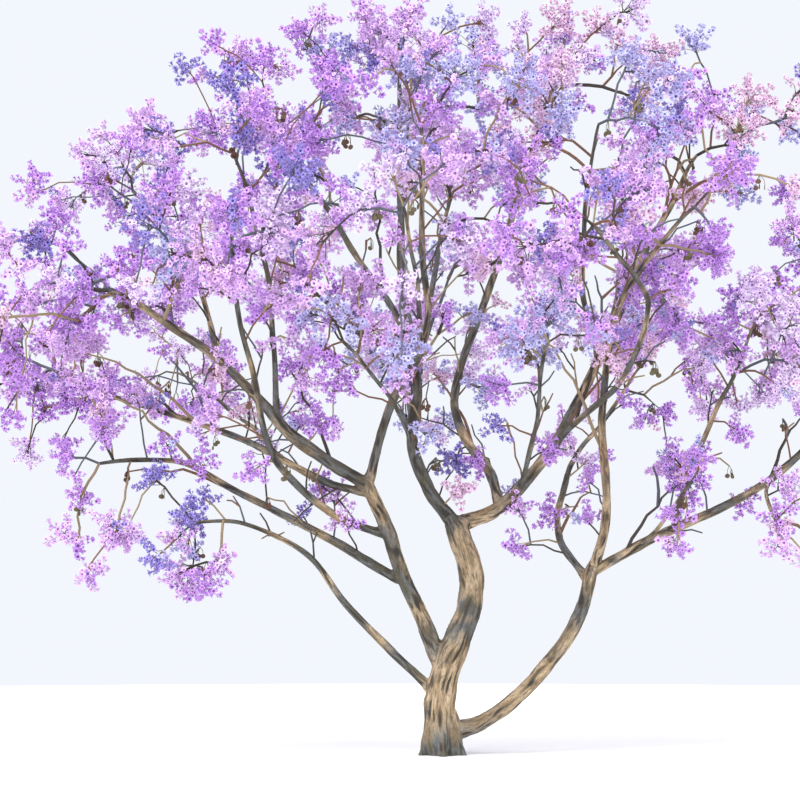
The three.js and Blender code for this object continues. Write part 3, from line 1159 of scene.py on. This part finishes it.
def stand(way, roll, size, base):
    """The matrix that stands a shape on base, pointing its +Z along way."""
    turned = way.to_track_quat("Z", "Y").to_matrix().to_4x4() @ Matrix.Rotation(roll, 4, "Z")
    return Matrix.Translation(base) @ turned @ Matrix.Scale(size, 4)


def copies(shape, matrices):
    """The shape once for each matrix, as one set of arrays."""
    corners, faces, kind = shape
    placed = np.array(matrices)
    moved = np.einsum("nij,vj->nvi", placed[:, :3, :3], corners) + placed[:, None, :3, 3]
    shifted = faces[None] + np.arange(len(placed))[:, None, None] * len(corners)
    return moved.reshape(-1, 3), shifted.reshape(-1, 3), np.tile(kind, len(placed))


def put_together(*shapes):
    """Several sets of arrays as one."""
    starts = np.cumsum([0] + [len(s[0]) for s in shapes])
    return (np.concatenate([s[0] for s in shapes]),
            np.concatenate([s[1] + start for s, start in zip(shapes, starts)]),
            np.concatenate([s[2] for s in shapes]))


flower = as_arrays(flower, lambda face: LOBE if len(face.vertices) == 4 else TUBE)
bud = as_arrays(bud, lambda face: BUD)

# %% The panicles
PANICLE_LENGTH = 0.24
PANICLE_TURNS = ((0.12, 3), (0.42, 3), (0.72, 2))
PANICLE_BUDS = 2
PANICLE_KINDS = 5
GOLDEN_ANGLE = math.pi * (3 - math.sqrt(5))
BEARING_PLAY = (0.8, 1.2)
FLOWER_LEANS = (0.15, 0.75)
LEAN_AT_FOOT = 0.5
FLOWER_SIZES = (0.85, 1.15)
HEIGHT_PLAY = 0.08
BUD_SPREAD = 0.5
BUD_SIZES = (0.8, 1.1)
BUD_HEIGHTS = (0.8, 0.95)


def panicle(chance):
    """Flowers and buds round a stalk of PANICLE_LENGTH along +Z."""
    flowers, bearing = [], chance.uniform(0, 2 * math.pi)
    for height, count in PANICLE_TURNS:
        for _ in range(count):
            bearing += GOLDEN_ANGLE * chance.uniform(*BEARING_PLAY)
            lean = chance.uniform(*FLOWER_LEANS) * (LEAN_AT_FOOT + height)
            way = Vector((math.cos(bearing), math.sin(bearing), lean)).normalized()
            base = UP * PANICLE_LENGTH * (height + chance.uniform(-HEIGHT_PLAY, HEIGHT_PLAY))
            roll = chance.uniform(0, 2 * math.pi)
            flowers.append(stand(way, roll, chance.uniform(*FLOWER_SIZES), base))
    buds = []
    for _ in range(PANICLE_BUDS):
        aside = [chance.uniform(-BUD_SPREAD, BUD_SPREAD) for _ in range(2)]
        way = Vector((*aside, 1)).normalized()
        size = chance.uniform(*BUD_SIZES)
        buds.append(stand(way, 0, size, UP * PANICLE_LENGTH * chance.uniform(*BUD_HEIGHTS)))
    return put_together(copies(flower, flowers), copies(bud, buds))


panicle_chance = random.Random("panicles")
panicles = [panicle(panicle_chance) for _ in range(PANICLE_KINDS)]
print("a panicle has", len(panicles[0][1]), "faces")

# %% [markdown]
# ## Sprays on the branch ends
# Round the end of each branch the panicles stand out in all directions but back towards the branch, evenly
# by the golden angle with a little play. The picture deals its violets in patches, so the tint is chosen
# once for each clump: a slow wave through space picks one of the three main tints of its part of the crown.
# Now and then a clump or a single panicle takes any other tint.

# %% Tints and where they lie
TINTS = {
    "orchid": (224, 182, 239), "violet": (201, 148, 231), "lilac": (230, 206, 243),
    "periwinkle": (187, 183, 231), "indigo": (143, 127, 206), "mauve": (230, 193, 222),
}
MAIN_TINTS = {
    "orchid violet lilac": "upper_left front_left back_left hang_right",
    "orchid violet violet": "left",
    "orchid violet orchid": "hang_left",
    "orchid lilac violet": "upper_back_right back_right",
    "orchid lilac periwinkle": "top_middle",
    "orchid periwinkle violet": "upper_front",
    "orchid periwinkle mauve": "upper_right",
    "orchid mauve violet": "front_right",
    "violet orchid violet": "left_tip right_tip",
    "violet orchid lilac": "right",
    "violet orchid indigo": "top_left",
    "violet indigo orchid": "upper_front_left tuft_right",
    "violet mauve orchid": "right_front",
    "violet periwinkle orchid": "low_front_left",
    "lilac periwinkle orchid": "front_middle back_middle",
    "lilac orchid violet": "upper_back_left",
    "lilac mauve violet": "top_right",
    "lilac mauve periwinkle": "upper_front_right",
    "periwinkle lilac orchid": "top_back",
    "periwinkle orchid violet": "low_front_right",
    "indigo orchid violet": "tuft_left",
}
tints_of = {"blossom_" + mass: tints.split() for tints, names in MAIN_TINTS.items() for mass in names.split()}
WASH = 1.4
WASH_EDGES = (0.04, -0.18)
WASH_PLAY = 0.08
STRAY_CLUMP = 0.15
STRAY_TINT = 0.08
TWIG_TINTS = {"dark": (66, 58, 52), "slate": (86, 90, 98), "brown": (118, 86, 68), "tan": (146, 128, 100)}
tint_names = list(TINTS)


def pick_tint(node, place, chance):
    """The tint of a clump: one of the mass's three main tints, in washes, and now and then any tint."""
    first, second, third = tints_of[node]
    wash = noise.noise(place / WASH) + chance.uniform(-WASH_PLAY, WASH_PLAY)
    if chance.random() < STRAY_CLUMP:
        return chance.choice(tint_names)
    return first if wash > WASH_EDGES[0] else second if wash > WASH_EDGES[1] else third


# %% Standing the panicles round each branch end
SPRAYS_PER_M2 = 8.2
FEWEST_SPRAYS = 3
WIDEST_SPRAY = -0.45
SPRAY_PLAY = 0.35
SPRAY_REACH = (0.8, 1.15)
SHORTEST_TWIG = 0.05
SPRAY_SIZE = (0.8, 1.2)
# The twig runs from its start to the base of the panicle, which points along its way from there.
Spray = namedtuple("Spray", "kind tint base way size start bark")


def sprays_round(clump, before, bark, tint, chance):
    """The panicles of one clump, with twigs from the last stretch of its branch."""
    place, facing, radius = clump
    cap_area = 2 * math.pi * radius ** 2 * (1 - WIDEST_SPRAY)
    count = max(FEWEST_SPRAYS, round(cap_area * SPRAYS_PER_M2))
    sprays = []
    for i in range(count):
        level = 1 - (1 - WIDEST_SPRAY) * (i + 0.5) / count
        flat = math.sqrt(1 - level * level)
        way = Vector((flat * math.cos(GOLDEN_ANGLE * i), flat * math.sin(GOLDEN_ANGLE * i), level))
        way += Vector(chance.uniform(-SPRAY_PLAY, SPRAY_PLAY) for _ in range(3))
        way.rotate(UP.rotation_difference(facing))
        way.normalize()
        size = chance.uniform(*SPRAY_SIZE)
        reach = radius * chance.uniform(*SPRAY_REACH)
        base = place + way * max(SHORTEST_TWIG, reach - PANICLE_LENGTH * size)
        own = chance.choice(tint_names) if chance.random() < STRAY_TINT else tint
        start = place.lerp(before, chance.random()) if i else place
        sprays.append(Spray(chance.randrange(PANICLE_KINDS), own, base, way, size, start, bark))
    return sprays


def sprays_of(node, chance):
    """All panicles of one mass and of the shoots under it."""
    joints, _, ends = grown[node]
    tip, _ = joints[0]
    ended = []
    for clump, end in zip(nearest_first(node, tip), ends):
        _, before = joints[end]
        ended.append((clump, joints[before][0], end, None))
    for number, shoot in enumerate(shoots[node]):
        if shoot.clump:
            ended.append((shoot.clump, shoot.points[-2], number, shoot.tint))
    found = []
    for clump, before, number, tint in ended:
        tint = tint or pick_tint(node, clump.place, chance)
        found += sprays_round(clump, before, number % len(TWIG_TINTS), tint, chance)
    return found


sprays = {node: sprays_of(node, chances[node]) for node in masses}
print(sum(len(s) for s in sprays.values()), "panicles")

# %% [markdown]
# ## Finishes
# A petal is thin and soft, so its finish is matt with a little sheen at grazing angles. The tints are plain
# colours, dealt out by spray, because a pattern would be lost on faces this small: the play of colour comes
# from lobe to tube and from spray to spray.

# %% Plain finishes for petals and twigs
DEEPER = {LOBE: 1.0, TUBE: 0.8, BUD: 0.6}
PETAL_ROUGHNESS = 0.6
PETAL_SHEEN = 0.25


def linear(colour, share=1.0):
    """A colour given as 0 to 255 in the way of screens, as the light it stands for, or a share of it."""
    return tuple(((c / 255 + 0.055) / 1.055) ** 2.4 * share for c in colour) + (1.0,)


def plain(name, colour, roughness, sheen=0.0):
    """A matt finish of one colour."""
    material = bpy.data.materials.new(name)
    material.use_nodes = True
    shader = material.node_tree.nodes["Principled BSDF"]
    shader.inputs["Base Color"].default_value = colour
    shader.inputs["Roughness"].default_value = roughness
    shader.inputs["Sheen Weight"].default_value = sheen
    material.diffuse_color = colour
    return material


def petal(tint, kind):
    """The finish of a lobe, a tube or a bud in one of the tints."""
    part = ("lobe", "tube", "bud")[kind]
    return plain(f"petal_{tint}_{part}", linear(TINTS[tint], DEEPER[kind]), PETAL_ROUGHNESS, PETAL_SHEEN)


petal_finishes = [petal(tint, kind) for tint in tint_names for kind in (LOBE, TUBE, BUD)]
print(len(petal_finishes), "finishes for petals")

# %% Building one mesh from arrays
def make_piece(name, shape, finishes):
    """An object with the shape's corners and faces, each face with the finish of its number."""
    corners, faces, kind = shape
    mesh = bpy.data.meshes.new(name)
    mesh.from_pydata(corners.tolist(), [], faces.tolist())
    for finish in finishes:
        mesh.materials.append(finish)
    mesh.polygons.foreach_set("material_index", kind.astype(np.int32))
    mesh.update()
    piece = bpy.data.objects.new(name, mesh)
    bpy.context.scene.collection.objects.link(piece)
    return piece


# %% The blossom of every mass
def blossom_of(node):
    """All panicles of one mass as one piece."""
    parts = []
    for number, shape in enumerate(panicles):
        for index, tint in enumerate(tint_names):
            matrices = [stand(spray.way, 0, spray.size, spray.base) for spray in sprays[node]
                        if spray.kind == number and spray.tint == tint]
            if matrices:
                corners, faces, kind = copies(shape, matrices)
                parts.append((corners, faces, kind + index * len(DEEPER)))
    return make_piece(node.replace("blossom_", "flowers_"), put_together(*parts), petal_finishes)


blossom = {node: blossom_of(node) for node in masses}
for node, piece in blossom.items():
    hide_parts(node)
    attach(piece, "root")
print("blossom:", sum(len(p.data.polygons) for p in blossom.values()), "faces")

# %% [markdown]
# ## Branches and twigs
# The grown joints only hold places and thicknesses. Each branch becomes a tube with a few sides, which starts
# inside the wood that it leaves. Every panicle gets a twig from its branch end and a stalk of its own.

# %% Tubes as arrays
BRANCH_SIDES = 6
SHOOT_SIDES = 5
TWIG_SIDES = 3
TWIG_THICK = 0.007
STALK_THICK = 0.005
STALK_END = 0.4
STALK_TINT = (150, 126, 146)
STALK_FINISH = len(TWIG_TINTS)
KNEE_PLAY = 0.02
TWIG_ROUGHNESS = 0.85
STALK_ROUGHNESS = 0.7


def tube(points, radii, sides, number):
    """A tapering tube through the points, closed at its end, as arrays."""
    ways = ways_ahead(points)
    side = ways[0].orthogonal().normalized()
    rings = []
    for point, radius, way in zip(points, radii, ways):
        side = (side - way * side.dot(way)).normalized()
        other = way.cross(side)
        for i in range(sides):
            angle = 2 * math.pi * i / sides
            rings.append(point + (side * math.cos(angle) + other * math.sin(angle)) * radius)
    rings.append(points[-1] + ways[-1] * radii[-1])
    faces = []
    for ring in range(len(points) - 1):
        for i in range(sides):
            a, b = ring * sides + i, ring * sides + (i + 1) % sides
            faces += [(a, b, b + sides), (a, b + sides, a + sides)]
    last = (len(points) - 1) * sides
    faces += [(last + i, last + (i + 1) % sides, len(rings) - 1) for i in range(sides)]
    return np.array(rings), np.array(faces), np.full(len(faces), number)


def twig_and_stalk(spray, chance):
    """The twig to one panicle and the panicle's own stalk, which is the last stretch of the tube."""
    knee_play = Vector(chance.uniform(-KNEE_PLAY, KNEE_PLAY) for _ in range(3))
    knee = spray.start.lerp(spray.base, 0.5) + knee_play
    tip = spray.base + spray.way * PANICLE_LENGTH * spray.size
    thick = [TWIG_THICK, TWIG_THICK, STALK_THICK, STALK_THICK * STALK_END]
    corners, faces, finishes = tube([spray.start, knee, spray.base, tip], thick, TWIG_SIDES, spray.bark)
    # Each side of the stalk has two faces along it and one that closes its tip.
    stalk_faces = 3 * TWIG_SIDES
    finishes[-stalk_faces:] = STALK_FINISH
    return corners, faces, finishes


def wood_of(node, chance):
    """The branches, shoots, twigs and stalks of one mass, without the leader, which is part of its bough."""
    joints, (_, *branches), _ = grown[node]
    radii = radii_of[node]
    tubes = []
    for branch in branches:
        points = [joints[i][0] for i in branch]
        thick = [radii[branch[1]]] + [radii[i] for i in branch[1:]]
        tubes.append(tube(points, thick, BRANCH_SIDES, branch[-1] % len(TWIG_TINTS)))
    for number, (points, _, radius, _) in enumerate(shoots[node]):
        thick = [radius + (THINNEST_BRANCH - radius) * i / len(points) for i in range(len(points))]
        tubes.append(tube(points, thick, SHOOT_SIDES, number % len(TWIG_TINTS)))
    tubes += [twig_and_stalk(spray, chance) for spray in sprays[node]]
    return put_together(*tubes)


twig_finishes = [plain("twig_" + name, linear(tint), TWIG_ROUGHNESS) for name, tint in TWIG_TINTS.items()]
twig_finishes.append(plain("stalk", linear(STALK_TINT), STALK_ROUGHNESS))
twig_shapes = {"left": [], "right": []}
for node in masses:
    side = "left" if middle_of(node).x < 0 else "right"
    twig_shapes[side].append(wood_of(node, chances[node]))
twigs = [make_piece("twigs_" + side, put_together(*shapes), twig_finishes)
         for side, shapes in twig_shapes.items()]
for piece in twigs:
    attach(piece, "root")
    print(piece.name, len(piece.data.polygons), "faces")

# %% [markdown]
# ## Seed pods
# A jacaranda keeps last year's pods into its bloom: flat, round, woody purses that hang in small bunches, and
# from far away they are the brown dabs between the violet. They hang from the branches and from dry shoots,
# where no flowers hide them. One pod is a disc with eight sides that bulges at both faces, and it is copied
# by matrices like the flowers.

# %% Modelling a pod
POD_RADIUS = 0.042
POD_THICK = 0.014
POD_SIDES = 8
POD_HEIGHT = 0.85
POD_CROWN = POD_THICK / 4
POD_BUNCH = (3, 6)
POD_SHARE = 0.3
POD_HANG = (0.05, 0.16)
POD_ASIDE = 0.06
STALK_BOW = 1 / 3
POD_ROUGHNESS = 0.7
POD_TINTS = {"pod_brown": (92, 64, 48), "pod_olive": (98, 88, 62)}


def model_pod():
    """A flat round pod that hangs below the origin."""
    deselect()
    bpy.ops.mesh.primitive_circle_add(vertices=POD_SIDES, radius=POD_RADIUS, fill_type="NGON",
                                      location=(0, 0, -POD_RADIUS), rotation=(math.pi / 2, 0, 0))
    pod = bpy.context.object
    bpy.ops.object.transform_apply(location=True, rotation=True, scale=True)
    edit_all()
    bpy.ops.mesh.extrude_region_move(TRANSFORM_OT_translate={"value": (0, POD_THICK / 2, 0)})
    bpy.ops.mesh.select_all(action="SELECT")
    bpy.ops.transform.resize(value=(1, 1, POD_HEIGHT), center_override=(0, 0, 0))
    bpy.ops.mesh.normals_make_consistent(inside=False)
    bpy.ops.object.mode_set(mode="OBJECT")
    flats = [f.index for f in pod.data.polygons if len(f.vertices) == POD_SIDES]
    select_parts(pod.data.polygons, flats)
    bpy.ops.mesh.poke(offset=POD_CROWN)
    deselect()
    return pod


pod = as_arrays(model_pod(), lambda face: 0)
print("a pod has", len(pod[1]), "faces")

# %% Hanging the pods in bunches
def bunch_at(place, chance):
    """A bunch of pods, all of one tint, that hangs from a place on a branch."""
    number, parts = chance.randrange(len(POD_TINTS)), []
    corners, faces, kind = pod
    for _ in range(chance.randint(*POD_BUNCH)):
        aside = Vector((chance.uniform(-1, 1), chance.uniform(-1, 1), 0)) * POD_ASIDE
        end = place + aside - UP * chance.uniform(*POD_HANG)
        turned = Matrix.Translation(end) @ Matrix.Rotation(chance.uniform(0, math.pi), 4, "Z")
        stalk = [place, place.lerp(end, 0.5) + aside * STALK_BOW, end]
        parts.append(copies((corners, faces, kind + number), [turned]))
        parts.append(tube(stalk, [STALK_THICK] * len(stalk), TWIG_SIDES, number))
    return parts


def bunches_of(node, chance):
    """The bunches of one mass, on its branches and at the ends of its dry shoots."""
    joints, (_, *branches), _ = grown[node]
    places = [joints[chance.choice(branch[1:-1])][0] for branch in branches if chance.random() < POD_SHARE]
    dry_ends = [shoot.points[-1] for shoot in shoots[node] if shoot.clump is None]
    places += [end for end in dry_ends if chance.random() < POD_SHARE]
    return [part for place in places for part in bunch_at(place, chance)]


bunches = [part for node in masses for part in bunches_of(node, chances[node])]
pod_finishes = [plain(name, linear(tint), POD_ROUGHNESS) for name, tint in POD_TINTS.items()]
pods = make_piece("pods", put_together(*bunches), pod_finishes)
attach(pods, "root")
print(len(bunches) // 2, "pods in", len(pods.data.polygons), "faces")

# %% [markdown]
# ## The bark's finish
# Petals are too small for a pattern, but bark is the opposite: one wide surface. An image wrapped round it
# would need seams, so its colour is worked out point by point instead. Slow patches of tan and slate lie
# over the whole tree, streaks and grain run along each limb in the place that was stored on the mesh, and
# the bottoms of the furrows are darkened as painted shade. Thin wood and the foot are darker too.

# %% The bark's colours and short ways to its nodes
# The dark of painted shade in the bottoms of the furrows, also used as the dark of the bark's own grain
BARK_FURROW_SHADE_AND_GRAIN = (54, 49, 43)
BARK_TAN = (204, 180, 146)
BARK_WARM = (146, 123, 92)
BARK_SLATE = (106, 109, 108)
BARK_OLIVE = (92, 86, 70)


class Finish:
    """A material and short ways to add the nodes that this bark needs."""

    def __init__(self, name):
        self.material = bpy.data.materials.new(name)
        self.material.use_nodes = True
        self.nodes, self.links = self.material.node_tree.nodes, self.material.node_tree.links
        self.shader = self.nodes["Principled BSDF"]

    def attribute(self, name, output="Fac"):
        """What the mesh stores under a name."""
        node = self.nodes.new("ShaderNodeAttribute")
        node.attribute_name = name
        return node.outputs[output]

    def share(self, value, low, high):
        """0 where the value is low or less, 1 where it is high or more."""
        node = self.nodes.new("ShaderNodeMapRange")
        self.links.new(value, node.inputs["Value"])
        node.inputs["From Min"].default_value = low
        node.inputs["From Max"].default_value = high
        return node.outputs["Result"]

    def noise(self, vector, scale, detail):
        """Soft noise over a place."""
        node = self.nodes.new("ShaderNodeTexNoise")
        node.inputs["Scale"].default_value = scale
        node.inputs["Detail"].default_value = detail
        self.links.new(vector, node.inputs["Vector"])
        return node.outputs["Fac"]

    def mix(self, share, first, second):
        """The first colour where the share is 0 and the second where it is 1."""
        node = self.nodes.new("ShaderNodeMix")
        node.data_type = "RGBA"
        colours = [socket for socket in node.inputs if socket.type == "RGBA"]
        self.links.new(share, node.inputs["Factor"])
        for socket, colour in zip(colours, (first, second)):
            if isinstance(colour, tuple):
                socket.default_value = linear(colour)
            else:
                self.links.new(colour, socket)
        return next(socket for socket in node.outputs if socket.type == "RGBA")

    def height(self, vector):
        """The third part of a place, which is how high it lies above the ground."""
        node = self.nodes.new("ShaderNodeSeparateXYZ")
        self.links.new(vector, node.inputs["Vector"])
        return node.outputs["Z"]

    def sum(self, first, second):
        """Two values added together."""
        node = self.nodes.new("ShaderNodeMath")
        for value, socket in zip((first, second), node.inputs):
            self.links.new(value, socket)
        return node.outputs["Value"]

    def stretched(self, vector, amounts):
        """A place with each of its three parts made larger or smaller."""
        node = self.nodes.new("ShaderNodeVectorMath")
        node.operation = "MULTIPLY"
        node.inputs[1].default_value = amounts
        self.links.new(vector, node.inputs[0])
        return node.outputs["Vector"]


# %% The bark, from its patches down to its grain
ALONG_THE_LIMB = (1, 1, 0.22)
# Scale and detail of each noise
STRETCHES = (1.3, 3)
STREAKS = (11, 3)
GRAIN = (70, 4)
# From which value to which one tone gives way to another
WARM_STREAKS = (0.4, 0.62)
OLIVE_STREAKS = (0.42, 0.58)
DARK_ON_THICK = (0.5, 0.6)
DARK_ON_THIN = (0.38, 0.52)
THIN_TO_THICK = (0.06, 0.2)
DARK_FOOT = (0.6, 1.1)
# Where the painted shade in the bottoms of the furrows gives way to the bark's tone
OUT_OF_FURROW_SHADE = (0.1, 0.55)
OUT_OF_GRAIN = (0.1, 0.62)
GRAIN_BUMP = 0.01
BARK_ROUGHNESS = 0.88


def bark_tone(finish, space, streaks):
    """Tan in some stretches and slate in others, darker on thin wood and at the foot."""
    stretches = finish.sum(finish.noise(space, *STRETCHES), finish.attribute("bark_shade"))
    light = finish.mix(finish.share(streaks, *WARM_STREAKS), BARK_TAN, BARK_WARM)
    dark = finish.mix(finish.share(streaks, *OLIVE_STREAKS), BARK_SLATE, BARK_OLIVE)
    thick = finish.mix(finish.share(stretches, *DARK_ON_THICK), light, dark)
    thin = finish.mix(finish.share(stretches, *DARK_ON_THIN), light, dark)
    tone = finish.mix(finish.share(finish.attribute("bark_girth"), *THIN_TO_THICK), thin, thick)
    rise = finish.sum(finish.height(space), streaks)
    return finish.mix(finish.share(rise, *DARK_FOOT), dark, tone)


def bark_finish():
    """Bark whose tone darkens in its furrows as painted shade, and in its grain, with the grain raised."""
    finish = Finish("bark")
    space = finish.nodes.new("ShaderNodeTexCoord").outputs["Object"]
    place = finish.stretched(finish.attribute("bark_place", "Vector"), ALONG_THE_LIMB)
    grain, streaks = finish.noise(place, *GRAIN), finish.noise(place, *STREAKS)
    relief = finish.attribute("bark_relief")
    # Painted shade: the bark is darkened where the relief sinks into a furrow
    furrow_shaded = finish.mix(finish.share(relief, *OUT_OF_FURROW_SHADE), BARK_FURROW_SHADE_AND_GRAIN, bark_tone(finish, space, streaks))
    grained = finish.mix(finish.share(grain, *OUT_OF_GRAIN), BARK_FURROW_SHADE_AND_GRAIN, furrow_shaded)
    finish.links.new(grained, finish.shader.inputs["Base Color"])

    bump = finish.nodes.new("ShaderNodeBump")
    bump.inputs["Distance"].default_value = GRAIN_BUMP
    finish.links.new(grain, bump.inputs["Height"])
    finish.links.new(bump.outputs["Normal"], finish.shader.inputs["Normal"])
    finish.shader.inputs["Roughness"].default_value = BARK_ROUGHNESS
    return finish.material


bark = bark_finish()
for piece in wood:
    piece.data.materials.clear()
    piece.data.materials.append(bark)
print("the bark has", len(bark.node_tree.nodes), "nodes")

# %% [markdown]
# ## Floor and light
# The tree stands on a wide pale floor under an even pale sky. Two broad suns light it: a stronger one from
# the upper left, and a weak one from the right that keeps the shadows thin, as in a watercolour.

# %% The floor, the sky and the light
FLOOR_RADIUS = 40.0
FLOOR_SIDES = 96
FLOOR_DROP = 0.002
FLOOR_PALE = (240, 240, 238)
FLOOR_ROUGHNESS = 0.9
SKY = (243, 247, 253)
SKY_POWER = 1.0


def add_sun(name, turned, power, softness):
    """A far light, turned by these angles from straight down, and as soft as it is wide in the sky."""
    bpy.ops.object.light_add(type="SUN", rotation=[math.radians(angle) for angle in turned])
    light = bpy.context.object
    light.name = name
    light.data.energy = power
    light.data.angle = math.radians(softness)


deselect()
bpy.ops.mesh.primitive_circle_add(vertices=FLOOR_SIDES, radius=FLOOR_RADIUS, fill_type="NGON",
                                  location=(0, 0, -FLOOR_DROP))
floor = bpy.context.object
floor.name = "floor"
bpy.ops.object.transform_apply(location=True)
floor.data.materials.append(plain("floor", linear(FLOOR_PALE), FLOOR_ROUGHNESS))

add_sun("sun", turned=(42, 0, -35), power=3.2, softness=35)
add_sun("fill", turned=(70, 0, 50), power=1.2, softness=120)
world = bpy.data.worlds.new("sky")
world.use_nodes = True
world.node_tree.nodes["Background"].inputs["Color"].default_value = linear(SKY)
world.node_tree.nodes["Background"].inputs["Strength"].default_value = SKY_POWER
bpy.context.scene.world = world
bpy.context.scene.view_settings.view_transform = "Standard"
